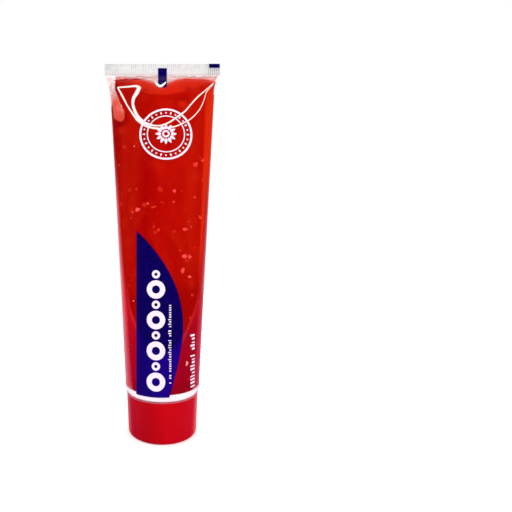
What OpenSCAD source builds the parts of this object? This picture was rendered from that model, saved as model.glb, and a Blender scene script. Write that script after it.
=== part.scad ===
// Toothpaste tube: a clear squeeze sleeve full of red gel, flattened and crimped at
// the top, with a white head and a plain red screw cap that it stands on.
// Millimetres. +Z up, the cap's base at z = 0, the seal's width along X,
// the front faces -Y.

/* [Sleeve] */
// Diameter of the sleeve's round end, as the tube is made
sleeve_d = 35; // [30:0.5:42]
// Thickness of the clear film
film_t = 0.45; // [0.35:0.05:0.6]
// Length of the sleeve from its round end to the start of the seal
sleeve_l = 149.2; // [120:0.2:175]
// How far each side of the filled sleeve stays in from the flat seal's end
corner_pull = 2.3; // [1:0.1:3.5]
// Height over which the right edge runs out to the seal
flare_right = 2.6; // [1.5:0.1:6]
// Height over which the left edge runs out to the seal
flare_left = 5; // [1.5:0.1:8]
// Height over which front and back swell out below the seal
swell = 8; // [5:0.5:16]
// Height of the round edge where the sleeve turns in to the shoulder
edge_h = 2.4; // [1.5:0.1:4]
// How far that edge turns in
edge_in = 0.75; // [0.4:0.05:1.2]

/* [Seal] */
// Height of the crimped seal
seal_h = 5.4; // [4:0.2:9]
// Distance from one crimp ridge to the next
ridge_pitch = 0.74; // [0.6:0.02:1.5]
// How far a ridge stands out of the seal
ridge_h = 0.13; // [0.08:0.01:0.25]

/* [Head] */
// Length of the head's skirt inside the sleeve, above the round edge
skirt_l = 4; // [2:0.5:8]
// Wall of that skirt
skirt_t = 0.9; // [0.6:0.1:1.5]
// Wall of the sloping shoulder, measured upright
shoulder_t = 2; // [1.4:0.1:2.6]
// How far the shoulder drops towards the neck
shoulder_drop = 2.6; // [1:0.1:4]
// Width of the flat land at the shoulder's rim
land_w = 1.7; // [1:0.1:2.5]
// Diameter of the neck, without its thread
neck_d = 12; // [11:0.25:14]
// Length of the neck below the shoulder
neck_l = 11.4; // [9:0.2:12]
// Diameter of the nozzle's bore
orifice_d = 8; // [6.5:0.25:8.5]
// Height of the thread above the neck
thread_h = 0.5; // [0.3:0.05:0.7]
// Rise of the thread in one turn
thread_pitch = 3; // [2.4:0.1:3.6]
// Turns of thread on the neck
thread_turns = 2; // [1:0.25:2.5]

/* [Cap] */
// Height of the cap
cap_h = 18.5; // [17.5:0.25:22]
// How far the cap's rim lies inside the sleeve's diameter
cap_inset = 0.75; // [0.5:0.05:1.5]
// How much narrower the cap's base is than its rim, on the radius
cap_taper = 0.75; // [0:0.05:1.5]
// Radius of the cap's lower edge
cap_round = 1.2; // [0.6:0.1:1.4]
// Wall of the cap's skirt
cap_t = 1.3; // [1:0.1:1.6]
// Thickness of the cap's base
base_t = 1.6; // [1.4:0.1:2.2]
// Wall of the socket that takes the neck
socket_t = 1.3; // [1:0.1:1.6]
// Room between the socket and the neck's thread
socket_gap = 0.3; // [0.2:0.05:0.5]
// Gap between the cap's rim and the shoulder
rim_gap = 0.3; // [0.2:0.05:0.8]

/* [Gel] */
// Depth of the air left under the seal
air_gap = 3.7; // [3:0.1:4.5]

/* [Print] */
// Thickness of a layer of ink
ink_t = 0.05; // [0.04:0.01:0.08]
// Height of the dark panel's straight left edge
panel_l = 72; // [50:1:85]
// Place of that edge, left of the middle
panel_left = 11.5; // [8:0.5:12.5]
// Greatest width of the dark panel
panel_w = 20.6; // [16:0.2:21]
// Width of the panel at its foot
panel_foot = 14.4; // [10:0.2:16]
// Outer diameter of the large white rings in the panel
title_d = 8; // [5:0.25:9]
// Outer diameter of the small rings between them
bead_d = 3.6; // [2.6:0.1:4]
// Number of large rings, each with a small one above it
title_count = 4; // [1:1:4]
// Outer diameter of the ring motif above the panel
motif_d = 24; // [14:0.5:26]
// Length of a line of small print on the front
small_l = 25; // [12:0.5:34]
// Width of a line of small print
small_w = 1.3; // [0.8:0.1:1.8]
// Length of the longest bold line on the back
bold_l = 36; // [20:0.5:40]
// Width of a bold line
bold_w = 1.9; // [1:0.1:2.6]
// Distance from one bold line to the next
bold_pitch = 4; // [3:0.1:4.4]
// Length of the longest fine rule on the back
rule_l = 118; // [80:1:125]
// Width of a fine rule
rule_w = 0.35; // [0.3:0.05:0.6]
// Height of the framed field on the back
frame_h = 27; // [16:0.5:30]
// Width of that field
frame_w = 7.6; // [5:0.2:8]
// Width of an eye mark on the seal
mark_w = 4.1; // [3:0.1:6]
// Height of the middle eye marks
mark_h = 11; // [7:0.2:12]

/* [Hidden] */
$fn = 96;
sides = 48;
ring_step = 8;
sleeve_r = sleeve_d / 2;
flat_half = PI * sleeve_r / 2;
full_half = flat_half - corner_pull;
shoulder_z = cap_h + rim_gap;
sleeve_z = shoulder_z + 0.2;
edge_z = sleeve_z + edge_h;
skirt_z = edge_z + skirt_l;
seal_z = sleeve_z + sleeve_l;
top_z = seal_z + seal_h;
neck_r = neck_d / 2;
neck_root_z = shoulder_z - shoulder_drop;
neck_end_z = neck_root_z - neck_l;
bore_top_z = neck_root_z + shoulder_t;
cone_top_z = shoulder_z + shoulder_t;
panel_z = edge_z;
ink_gap = 0.04;

// Distances below the seal, as shares of the air gap, at which rings are drawn.
// The film's two walls part at the share 0.35 and the gel begins at the share 1.
top_shares = [7, 5.2, 3.9, 2.9, 2.1, 1.5, 1, 0.65, 0.35, 0];
body_top_z = seal_z - top_shares[0] * air_gap;
body_rings = ceil((body_top_z - skirt_z) / ring_step);
fused_z = seal_z - 0.35 * air_gap;
gel_top_z = seal_z - air_gap;

// Heights of all the sleeve's rings, from the shoulder to the seal
ring_z = concat(
    [for (k = [0:3]) sleeve_z + edge_h * k / 4],
    [edge_z],
    [for (k = [0:body_rings - 1])
        skirt_z + (body_top_z - skirt_z) * k / body_rings],
    [for (s = top_shares) seal_z - s * air_gap]);

// Perimeter of an ellipse with half axes a and b
function ellipse_length(a, b) =
    let (h = pow((a - b) / (a + b), 2))
    PI * (a + b) * (1 + 3 * h / (10 + sqrt(4 - 3 * h)));

// Half thickness that keeps the film's length around a section of half width a
function thin_half(a, low = 0, high = 30, step = 0) =
    step == 24 ? (low + high) / 2 :
    let (mid = (low + high) / 2)
    ellipse_length(a, mid) > PI * sleeve_d
        ? thin_half(a, low, mid, step + 1)
        : thin_half(a, mid, high, step + 1);

// Share of the way from the round end to the seal
function along(z) = min(1, max(0, (z - skirt_z) / (seal_z - skirt_z)));

// How far the round lower edge turns in at a height
function turn_in(z) =
    let (u = min(1, max(0, (edge_z - z) / edge_h)))
    edge_in * (1 - sqrt(1 - u * u));

// Half width of the filled sleeve, without its flare to the seal
function plain_half(z) =
    sleeve_r + (full_half - sleeve_r) * along(z) - turn_in(z);

// Half width on one side, 1 for the right and -1 for the left
function half_w(z, side) =
    plain_half(z) + corner_pull * exp(-(seal_z - z) / (side > 0 ? flare_right : flare_left));

// Half thickness in the middle
function half_t(z) =
    z <= skirt_z ? sleeve_r - turn_in(z) :
    film_t + (thin_half(plain_half(z)) - film_t) * (1 - exp(-(seal_z - z) / swell));

// Roundness of the section: 0.5 is an ellipse, 1 a lens with sharp ends
function sharpness(z) = 0.5 + 0.5 * exp(-(seal_z - z) / swell);

// Point of the section at height z, by angle, lying a wall's thickness inside
function section_point(angle, z, inset) =
    let (side = cos(angle) >= 0 ? 1 : -1,
         s = sharpness(z),
         a = half_w(z, side) - inset * (4 * s - 1),
         b = half_t(z) - inset)
    [a * cos(angle), b * sign(sin(angle)) * pow(abs(sin(angle)), 2 * s), z];

function section_ring(z, inset) =
    [for (i = [0:sides - 1]) section_point(360 * i / sides, z, inset)];

function round_ring(r, z) =
    [for (i = [0:sides - 1]) [r * cos(360 * i / sides), r * sin(360 * i / sides), z]];

// Two triangles for each cell between stacked rings, seen from outside
function wall_faces(first, count, n = sides) =
    [for (j = [0:count - 2], i = [0:n - 1], half = [0, 1])
        let (a = first + j * n + i, d = first + j * n + (i + 1) % n)
        half == 0 ? [a, a + n, d + n] : [a, d + n, d]];

function flipped(faces) = [for (f = faces) [for (k = [len(f) - 1:-1:0]) f[k]]];

function flat(lists) = [for (l = lists, p = l) p];

// Solid stack of rings, closed at both ends
module stack(rings) {
    n = len(rings[0]);
    last = (len(rings) - 1) * n;
    polyhedron(flat(rings), concat(
        wall_faces(0, len(rings), n),
        [[for (i = [0:n - 1]) i]],
        [[for (i = [n - 1:-1:0]) last + i]]));
}

// Film bag: an outer and an inner stack, open below and closed above
module bag(outer, inner) {
    n = len(outer[0]);
    inside = len(outer) * n;
    outer_top = inside - n;
    inner_top = inside + (len(inner) - 1) * n;
    polyhedron(flat(concat(outer, inner)), concat(
        wall_faces(0, len(outer), n),
        flipped(wall_faces(inside, len(inner), n)),
        [[for (i = [n - 1:-1:0]) outer_top + i]],
        [[for (i = [0:n - 1]) inner_top + i]],
        [for (i = [0:n - 1], half = [0, 1])
            let (j = (i + 1) % n)
            half == 0 ? [i, j, inside + j] : [i, inside + j, inside + i]]));
}

// The seal's crimped band, with a ridge at each pitch on both faces
module seal_band() {
    count = round(2 * flat_half / ridge_pitch);
    pitch = 2 * flat_half / count;
    front = [for (k = [0:2 * count])
        [-flat_half + k * pitch / 2, -film_t - ridge_h * (k % 2)]];
    back = [for (k = [2 * count:-1:0])
        [-flat_half + k * pitch / 2, film_t + ridge_h * (k % 2)]];
    translate([0, 0, seal_z - 0.5])
        linear_extrude(top_z - seal_z + 0.5)
        polygon(concat(front, back));
}

module tube_sleeve() {
    color([0.93, 0.92, 0.92, 0.5])
    union() {
        bag([for (z = ring_z) section_ring(z, 0)],
            [for (z = ring_z) if (z <= fused_z + 0.001) section_ring(z, film_t)]);
        seal_band();
    }
}

// Inner radius of the many-sided sleeve at a height, where the head bears on it
function seat_r(z) = (sleeve_r - turn_in(z) - film_t) * cos(180 / sides);

// One thread along the neck, its root sunk a little into the neck's wall
module neck_thread() {
    steps = 24;
    count = round(steps * thread_turns);
    foot = thread_pitch * 0.36;
    crest = thread_pitch * 0.12;
    low = (neck_root_z + neck_end_z - thread_pitch * thread_turns) / 2;
    root_r = neck_r - 0.3;
    sections = [for (k = [0:count])
        let (turn = 360 * k / steps,
             z = low + thread_pitch * k / steps,
             rise = min(1, 3 * min(k, count - k) / steps + 0.15),
             tip_r = root_r + (0.3 + thread_h) * rise)
        [for (p = [[root_r, -foot], [tip_r, -crest], [tip_r, crest], [root_r, foot]])
            [p[0] * cos(turn), p[0] * sin(turn), z + p[1]]]];
    last = count * 4;
    polyhedron(flat(sections), concat(
        [for (k = [0:count - 1], i = [0:3], half = [0, 1])
            let (a = k * 4 + i, b = k * 4 + (i + 1) % 4)
            half == 0 ? [a, b, b + 4] : [a, b + 4, a + 4]],
        [[3, 2, 1, 0]],
        [[last, last + 1, last + 2, last + 3]]));
}

module tube_head() {
    outside = concat(
        [[seat_r(skirt_z), skirt_z]],
        [for (k = [4:-1:0]) [seat_r(sleeve_z + edge_h * k / 4), sleeve_z + edge_h * k / 4]],
        [[seat_r(sleeve_z) - 0.2, shoulder_z]]);
    skirt_in = seat_r(skirt_z) - skirt_t;
    land_in = seat_r(sleeve_z) - 0.2 - land_w;
    color([0.97, 0.95, 0.96])
    difference() {
        union() {
            rotate_extrude()
                polygon(concat(outside, [
                    [land_in, shoulder_z],
                    [neck_r, neck_root_z],
                    [neck_r, neck_end_z],
                    [0, neck_end_z],
                    [0, bore_top_z],
                    [orifice_d / 2, bore_top_z],
                    [skirt_in, cone_top_z],
                    [skirt_in, skirt_z]]));
            neck_thread();
        }
        translate([0, 0, neck_end_z - 1])
            cylinder(h = bore_top_z - neck_end_z + 2, d = orifice_d);
    }
}

module screw_cap() {
    rim_r = sleeve_r - cap_inset;
    foot_r = rim_r - cap_taper;
    lean = cap_taper / cap_h;
    bore_r = neck_r + thread_h + socket_gap;
    socket_top = neck_root_z - 1;
    color([0.82, 0.02, 0.05])
    rotate_extrude()
        polygon(concat(
            [[0, 0]],
            [for (a = [-90:15:0])
                [foot_r - cap_round + cap_round * cos(a), cap_round + cap_round * sin(a)]],
            [[rim_r, cap_h],
             [rim_r - cap_t, cap_h],
             [foot_r + lean * base_t - cap_t, base_t],
             [bore_r + socket_t, base_t],
             [bore_r + socket_t, socket_top],
             [bore_r, socket_top],
             [bore_r, base_t],
             [orifice_d / 2 + 0.8, base_t],
             [orifice_d / 2 + 0.8, neck_end_z],
             [0, neck_end_z]]));
}

module red_gel() {
    skirt_in = seat_r(skirt_z) - skirt_t;
    color([0.75, 0.03, 0.02])
    stack(concat(
        [round_ring(orifice_d / 2, bore_top_z),
         round_ring(skirt_in, cone_top_z),
         round_ring(skirt_in, skirt_z)],
        [for (z = ring_z) if (z > skirt_z - 0.001 && z < gel_top_z + 0.001)
            section_ring(z, film_t)]));
}

// Distance of the smooth skin from the middle plane at a place on the face
function skin_y(x, z) =
    let (a = half_w(z, x >= 0 ? 1 : -1))
    half_t(z) * pow(max(0, 1 - x * x / (a * a)), sharpness(z));

// Point a small height above the skin, on the front (-1) or the back (1)
function on_skin(x, z, height, face) =
    let (d = 0.05,
         sx = (skin_y(x + d, z) - skin_y(x - d, z)) / (2 * d),
         sz = (skin_y(x, z + d) - skin_y(x, z - d)) / (2 * d),
         n = sqrt(1 + sx * sx + sz * sz))
    [x - height * sx / n, face * (skin_y(x, z) + height / n), z - height * sz / n];

// Thin layer of ink over a grid of [x, z] places: rows go up, columns go right.
// A closed layer's last column meets its first.
module ink(rows, face, layer = 0, closed = false) {
    nr = len(rows);
    nc = len(rows[0]);
    size = nr * nc;
    end = closed ? nc - 1 : nc - 2;
    top = (nr - 1) * nc;
    low = ink_gap + layer * (ink_t + ink_gap);
    points = [for (h = [low + ink_t, low], r = rows, p = r) on_skin(p[0], p[1], h, face)];
    outer = [for (r = [0:nr - 2], c = [0:end], half = [0, 1])
        let (a = r * nc + c, d = r * nc + (c + 1) % nc)
        half == 0 ? [a, a + nc, d + nc] : [a, d + nc, d]];
    inner = flipped([for (f = outer) [for (i = f) i + size]]);
    rim = concat(
        [for (c = [0:end]) [c, (c + 1) % nc]],
        [for (c = [0:end]) [top + (c + 1) % nc, top + c]],
        closed ? [] : [for (r = [0:nr - 2]) [r * nc + nc - 1, (r + 1) * nc + nc - 1]],
        closed ? [] : [for (r = [0:nr - 2]) [(r + 1) * nc, r * nc]]);
    walls = [for (e = rim, half = [0, 1])
        half == 0 ? [e[0], e[1], e[1] + size] : [e[0], e[1] + size, e[0] + size]];
    faces = concat(outer, inner, walls);
    polyhedron(points, face < 0 ? faces : flipped(faces));
}

// Bar of ink, centred on a place, with a row of facets at each rise
module bar(x, z, w, h, face, layer = 0, rise = 4) {
    across = ceil(w);
    up = max(1, ceil(h / rise));
    ink([for (r = [0:up])
            [for (c = [0:across]) [x - w / 2 + w * c / across, z - h / 2 + h * r / up]]],
        face, layer);
}

// Ring of ink, centred on a place
module ring(x, z, d, w, face, layer = 0) {
    steps = ceil(d * 2 / 4) * 4;
    ink([for (q = w > 1.5 ? [d / 2, (d - w) / 2, d / 2 - w] : [d / 2, d / 2 - w])
            [for (k = [0:steps - 1])
                [x + q * cos(360 * k / steps), z + q * sin(360 * k / steps)]]],
        face, layer, true);
}

// Upright rectangle of ink drawn as a line, centred on a place
module field(x, z, w, h, line, face) {
    up = ceil(h / 4);
    across = ceil(w);
    side = [for (k = [0:up]) 2 * k / up - 1];
    ends = [for (k = [0:across]) 2 * k / across - 1];
    loop = concat([for (v = side) [1, v]], [for (u = ends) [-u, 1]],
                  [for (v = side) [-1, -v]], [for (u = ends) [u, -1]]);
    corners = [for (k = [0:len(loop) - 1]) if (loop[k] != loop[(k + 1) % len(loop)]) loop[k]];
    ink([for (q = [0, line])
            [for (p = corners) [x + p[0] * (w / 2 - q), z + p[1] * (h / 2 - q)]]],
        face, 0, true);
}

// Width of the dark panel at a share of its height: widest at 0.4, a point at 1
function panel_width(v) =
    v > 0.4 ? panel_w * max(0.01, 1 - pow((v - 0.4) / 0.6, 2.2))
            : panel_w - (panel_w - panel_foot) * pow((0.4 - v) / 0.4, 1.5);

// Dark fin: straight on the left, bowed out on the right
module panel_print() {
    rows = 20;
    cols = 16;
    color([0.08, 0.0, 0.44])
    ink([for (r = [0:rows])
            [for (c = [0:cols])
                [-panel_left + panel_width(r / rows) * c / cols,
                 panel_z + panel_l * r / rows]]],
        -1);
}

// Registration marks for the filling line, on the front, the back and a corner
module eye_marks() {
    mark_top = top_z - 2.2;
    mark_low = mark_top - mark_h;
    skin_top = seal_z - 0.8;
    proud = film_t + ridge_h + ink_gap;
    color([0.1, 0.04, 0.4]) {
        for (face = [-1, 1]) {
            bar(0, (mark_low + skin_top) / 2, mark_w, skin_top - mark_low, face, 0, 0.8);
            translate([-mark_w / 2, face < 0 ? -proud - ink_t : proud, seal_z])
                cube([mark_w, ink_t, mark_top - seal_z]);
        }
        translate([flat_half - 1.3 * mark_w, -proud - ink_t, top_z - 2])
            cube([1.3 * mark_w - 0.3, ink_t, 1.9]);
    }
}

// White print on the front: a chain of rings in the panel, a motif of rings above
// it, and two lines of small print
module front_print() {
    title_x = title_d / 2 + 4.7 - panel_left;
    first_z = panel_z + 2.6 + title_d / 2;
    pitch = title_d + bead_d + 1.6;
    motif_x = 1.6;
    motif_z = seal_z - 31;
    color([0.98, 0.9, 0.94]) {
        for (k = [0:title_count - 1]) {
            ring(title_x, first_z + pitch * k, title_d, title_d * 0.28, -1, 1);
            ring(title_x, first_z + pitch * (k + 0.5), bead_d, bead_d * 0.3, -1, 1);
        }
        ring(motif_x, motif_z, motif_d, 0.9, -1);
        ring(motif_x, motif_z, motif_d * 0.72, 0.5, -1);
        ring(motif_x, motif_z, motif_d * 0.4, motif_d * 0.12, -1);
        bar(title_x + title_d / 2 + 2, panel_z + small_l * 0.9, small_w * 0.7, small_l * 1.4,
            -1, 1);
        bar(sleeve_r - 4, panel_z + small_l / 2 + 2.5, small_w, small_l, -1);
    }
}

// White print on the back: four bold lines at the foot, fine rules beside them, and
// an upright title with a framed field above them
module back_print() {
    foot_z = edge_z + 1.5;
    head_z = foot_z + bold_l + 4;
    rule_step = (sleeve_r - 2.6 - bold_pitch) / 5;
    color([0.95, 0.8, 0.85]) {
        for (k = [0:3])
            bar(-k * bold_pitch, foot_z + bold_l / 2 - k, bold_w, bold_l - 2 * k, 1);
        for (k = [0:5])
            bar(bold_pitch + rule_step * k, foot_z + rule_l / 2, rule_w, rule_l - 4 * k, 1);
        bar(-0.6 * bold_pitch, head_z + frame_h / 2, 1.7 * bold_w, frame_h, 1);
        field(-0.6 * bold_pitch - 0.85 * bold_w - 1.6 - frame_w / 2, head_z + frame_h / 2,
              frame_w, frame_h, rule_w, 1);
    }
}

tube_sleeve();
tube_head();
screw_cap();
red_gel();
panel_print();
eye_marks();
front_print();
back_print();
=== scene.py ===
# %% [markdown]
# A filled toothpaste tube, standing on its cap. A clear film sleeve is welded flat at the top,
# holds a red gel, and is moulded onto a white head at the foot. This lesson dresses the packed
# CAD model: the cap and the head keep their CAD shapes and get better materials, while the
# film, the gel and the inks are rebuilt here as smooth, finely divided meshes from the same
# formulas that the CAD source uses, so they land exactly where the CAD says.

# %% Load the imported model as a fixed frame
import math

import bmesh
import bpy
import numpy as np
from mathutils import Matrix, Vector


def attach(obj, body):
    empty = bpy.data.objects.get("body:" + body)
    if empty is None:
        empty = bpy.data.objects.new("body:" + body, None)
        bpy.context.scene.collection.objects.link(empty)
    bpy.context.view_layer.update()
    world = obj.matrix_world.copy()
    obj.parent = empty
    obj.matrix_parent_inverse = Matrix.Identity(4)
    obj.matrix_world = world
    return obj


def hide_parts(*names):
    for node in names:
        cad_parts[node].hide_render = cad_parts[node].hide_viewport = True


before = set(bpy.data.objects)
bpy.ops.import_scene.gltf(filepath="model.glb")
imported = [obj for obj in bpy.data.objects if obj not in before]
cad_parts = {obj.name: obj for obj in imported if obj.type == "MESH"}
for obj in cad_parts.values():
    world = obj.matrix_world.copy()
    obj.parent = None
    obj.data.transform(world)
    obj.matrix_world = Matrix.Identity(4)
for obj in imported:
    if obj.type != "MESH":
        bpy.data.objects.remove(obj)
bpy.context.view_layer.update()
MM = 0.001
TURN = 2 * math.pi
print("nodes:", sorted(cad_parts))

# %% [markdown]
# Every size of the tube is written once, in millimetres, with the names of the CAD source.
# The sleeve is a bag of constant girth: round at the foot and flat at the seal, so each height
# has a half width and the half thickness that leaves the girth as it is. A table could hold
# them, but a formula keeps the skin smooth at any resolution.

# %% Sizes of the sleeve
SLEEVE_D = 35.0
FILM_T = 0.45
SLEEVE_R = SLEEVE_D / 2
FLAT_HALF = math.pi * SLEEVE_R / 2
CORNER_PULL = 2.3
FULL_HALF = FLAT_HALF - CORNER_PULL
FLARE_RIGHT = 2.6
FLARE_LEFT = 5.0
SWELL = 8.0
EDGE_H = 2.4
EDGE_IN = 0.75
SLEEVE_Z = 19.0
EDGE_Z = 21.4
SKIRT_Z = 25.4
SEAL_Z = 168.2
TOP_Z = 173.6
FUSED_Z = 166.9
FRONT = -1
BACK = 1
RIDGE_COUNT = 58
RIDGE_PITCH = 2 * FLAT_HALF / RIDGE_COUNT
RIDGE_W = 0.24
RIDGE_H = 0.125
RIDGE_L = 5.0


def fade(value, start, length):
    """0 up to a start and 1 from a length past it; a negative length runs downward."""
    return np.clip((value - start) / length, 0, 1)


def ellipse_length(a, b):
    """Girth of an ellipse with half axes a and b."""
    h = ((a - b) / (a + b)) ** 2
    return math.pi * (a + b) * (1 + 3 * h / (10 + np.sqrt(4 - 3 * h)))


def thin_half(a):
    """Half thickness that keeps the sleeve's girth at half width a."""
    low = np.zeros_like(a)
    high = np.full_like(a, 30.0)
    for _ in range(24):
        middle = (low + high) / 2
        short = ellipse_length(a, middle) < math.pi * SLEEVE_D
        low = np.where(short, middle, low)
        high = np.where(short, high, middle)
    return (low + high) / 2


WIDTHS = np.linspace(SLEEVE_R - 1, FULL_HALF + 1, 400)
THICKS = thin_half(WIDTHS)


def turn_in(z):
    """How far the round lower edge turns in."""
    u = fade(z, EDGE_Z, -EDGE_H)
    return EDGE_IN * (1 - np.sqrt(1 - u * u))


def plain_half(z):
    """Half width of the filled sleeve without its flare."""
    share = fade(z, SKIRT_Z, SEAL_Z - SKIRT_Z)
    return SLEEVE_R + (FULL_HALF - SLEEVE_R) * share - turn_in(z)


def half_width(z, x):
    """Half width on the side of x, flared to the seal."""
    flare = np.where(x >= 0, FLARE_RIGHT, FLARE_LEFT)
    return plain_half(z) + CORNER_PULL * np.exp(-(SEAL_Z - z) / flare)


def half_thick(z):
    """Half thickness in the middle."""
    swollen = np.interp(plain_half(z), WIDTHS, THICKS) - FILM_T
    filled = FILM_T + swollen * (1 - np.exp(-(SEAL_Z - z) / SWELL))
    return np.where(z <= SKIRT_Z, SLEEVE_R - turn_in(z), filled)


def sharpness(z):
    """0.5 is an ellipse, 1 a lens with sharp ends."""
    return 0.5 + 0.5 * np.exp(-(SEAL_Z - z) / SWELL)


print("half width and thickness at z 100:", half_width(100.0, 1.0), half_thick(np.array(100.0)))

# %% [markdown]
# Real film is never a perfect surface. It hangs in short pleats from the weld, and long gentle
# hollows wander down the body. Both are inward dents of a few tenths of a millimetre, written
# as one function of the place, so that the film, the gel behind it and the ink on it share
# them and a reflection bends over all three alike.

# %% The dented skin
DENT_LIMIT = 0.35
PLEATS = [(-20.5, 0.16, 1.1, 3.0), (-15.0, 0.22, 1.0, 5.0), (-8.5, 0.20, 0.9, 3.5),
          (-2.9, 0.24, 0.8, 4.5), (3.0, 0.24, 0.8, 4.5), (8.0, 0.16, 1.2, 3.0),
          (13.0, 0.22, 0.9, 4.0), (19.5, 0.20, 1.2, 4.0)]


def dented(y, x, z, face):
    """Half thickness y less the dent of the skin at that place."""
    below = np.clip(SEAL_Z - z, 0, None)
    deep = 0.10 * np.exp(-((below - 1.5) / 0.5) ** 2)
    for at, size, wide, long in PLEATS:
        deep = deep + size * np.exp(-((x + at * face) / wide) ** 2 - below / long)
    wander = np.sin(0.17 * x + 0.045 * z + 1.4 * np.sin(0.06 * z + face))
    swing = np.sin(0.31 * x - 0.07 * z + 0.9 * np.sin(0.043 * z - face))
    deep = deep + fade(z, 24, 20) * (0.09 * (1 + wander) + 0.05 * (1 + swing))
    return y - np.minimum(deep, DENT_LIMIT * y)


def skin_y(x, z, face):
    """Distance of the dented outer skin from the middle plane."""
    a = half_width(z, x)
    y = half_thick(z) * np.clip(1 - (x / a) ** 2, 0, None) ** sharpness(z)
    return np.where(z < SEAL_Z, dented(y, x, z, face), y)


def on_skin(x, z, height, face):
    """Points at a height above the skin; a height below 0 is inside it."""
    step = 0.05
    slope_x = (skin_y(x + step, z, face) - skin_y(x - step, z, face)) / (2 * step)
    slope_z = (skin_y(x, z + step, face) - skin_y(x, z - step, face)) / (2 * step)
    length = np.sqrt(1 + slope_x ** 2 + slope_z ** 2)
    y = skin_y(x, z, face) + height / length
    return np.stack([x - height * slope_x / length, face * y,
                     z - height * slope_z / length], axis=-1)


print("skin in the middle at z 120:", round(float(skin_y(0.0, 120.0, -1)), 3), "mm from the axis")

# %% [markdown]
# Small helpers keep the later cells short. A net is a node tree with calls that add a node,
# fill its sockets and give its outputs, so that a chain of nodes reads like a formula.

# %% Helpers for nodes
def linear(red, green, blue):
    """A colour given as on a screen, 0 to 255, as the linear value a shader wants."""
    share = [c / 255 for c in (red, green, blue)]
    return tuple(c / 12.92 if c < 0.04045 else ((c + 0.055) / 1.055) ** 2.4
                 for c in share) + (1.0,)


class Net:
    """A node tree, with short calls that add and join its nodes."""

    def __init__(self, tree):
        self.tree = tree

    def feed(self, socket, value):
        """Links a socket or sets its constant; three numbers are a screen colour."""
        if isinstance(value, bpy.types.NodeSocket):
            self.tree.links.new(value, socket)
        elif socket.type == "RGBA" and len(value) == 3:
            socket.default_value = linear(*value)
        else:
            socket.default_value = value

    def add(self, kind, inputs=None, **settings):
        """Adds a node, feeds its inputs and gives its outputs."""
        made = self.tree.nodes.new(kind)
        for key, value in settings.items():
            setattr(made, key, value)
        for key, value in (inputs or {}).items():
            self.feed(made.inputs[key], value)
        return made.outputs

    def mix(self, share, first, second):
        """Colour between two colours."""
        return self.add("ShaderNodeMix", {0: share, 6: first, 7: second},
                        data_type="RGBA")[2]

    def blend(self, share, first, second):
        """Number between two numbers."""
        return self.add("ShaderNodeMix", {0: share, 2: first, 3: second},
                        data_type="FLOAT")[0]

    def calc(self, operation, *values, clamp=False):
        """A sum of numbers or sockets."""
        return self.add("ShaderNodeMath", dict(enumerate(values)), operation=operation,
                        use_clamp=clamp)[0]

    def times(self, first, second):
        """The product of two numbers or sockets."""
        return self.calc("MULTIPLY", first, second)

    def tint(self, colour, *steps):
        """A colour drawn to one tone after another, each given as mask, strength, tone."""
        for mask, strength, tone in steps:
            colour = self.mix(self.times(mask, strength), colour, tone)
        return colour

    def ranged(self, value, low, high, to_low=0.0, to_high=1.0):
        """A value mapped from one range to another with soft ends."""
        inputs = {"Value": value, "From Min": low, "From Max": high, "To Min": to_low,
                  "To Max": to_high}
        return self.add("ShaderNodeMapRange", inputs,
                        interpolation_type="SMOOTHSTEP")["Result"]

    def ramp(self, value, *stops):
        """A colour that changes along a value, from (place, screen colour) stops."""
        made = self.tree.nodes.new("ShaderNodeValToRGB")
        self.feed(made.inputs["Fac"], value)
        held = made.color_ramp.elements
        held[0].position, held[1].position = stops[0][0], stops[-1][0]
        held[0].color, held[1].color = linear(*stops[0][1]), linear(*stops[-1][1])
        for place, tone in stops[1:-1]:
            held.new(place).color = linear(*tone)
        return made.outputs[0]

    def place(self):
        """The place on the object, with outputs X, Y and Z."""
        where = self.add("ShaderNodeTexCoord")["Object"]
        return self.add("ShaderNodeSeparateXYZ", {0: where})

    def noise(self, stretch, **inputs):
        """Noise over the object's place, drawn out along the tube by a share."""
        where = self.place()
        tall = self.times(where["Z"], stretch)
        vector = self.vector(X=where["X"], Y=where["Y"], Z=tall)
        return self.add("ShaderNodeTexNoise", {"Vector": vector, **inputs})["Fac"]

    def vector(self, **parts):
        """A vector from X, Y and Z."""
        return self.add("ShaderNodeCombineXYZ", parts)[0]

    def bump(self, height):
        """The normal of a surface raised by a height in metres."""
        return self.add("ShaderNodeBump", {"Strength": 1.0, "Distance": 1.0,
                                           "Height": height})[0]


def node_group(name, kind, inputs, outputs):
    """An empty node group, as a net and the outputs of its Group Input node."""
    net = Net(bpy.data.node_groups.new(name, kind))
    for way, sockets in (("INPUT", inputs), ("OUTPUT", outputs)):
        for label, value in sockets.items():
            sort = value if isinstance(value, str) else "Float"
            socket = net.tree.interface.new_socket(label, in_out=way,
                                                   socket_type="NodeSocket" + sort)
            if sort != value:
                socket.default_value = value
    return net, net.add("NodeGroupInput")


# %% [markdown]
# More helpers turn lists of points into mesh objects that stand at the origin, in metres, with
# all faces outward, and put a finished piece on its body.

# %% Helpers for meshes
def in_scene(name, data):
    """A new object in the scene."""
    made = bpy.data.objects.new(name, data)
    bpy.context.scene.collection.objects.link(made)
    return made


def opened(*meshes):
    """Meshes open for editing, as one."""
    work = bmesh.new()
    for mesh in meshes:
        work.from_mesh(mesh)
    return work


def turned_out(work, mesh):
    """Ends the editing: faces turn outward and go to the mesh."""
    bmesh.ops.recalc_face_normals(work, faces=work.faces)
    work.to_mesh(mesh)
    work.free()


def store(mesh, key, numbers):
    """Keeps a number for each point of a mesh."""
    layer = mesh.attributes.new(key, "FLOAT", "POINT")
    layer.data.foreach_set("value", np.asarray(numbers, dtype=np.float32))


def dressed(name, mesh, material, smooth):
    """An object with one material from a mesh."""
    mesh.materials.append(material)
    mesh.polygons.foreach_set("use_smooth", [smooth] * len(mesh.polygons))
    return in_scene(name, mesh)


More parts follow.
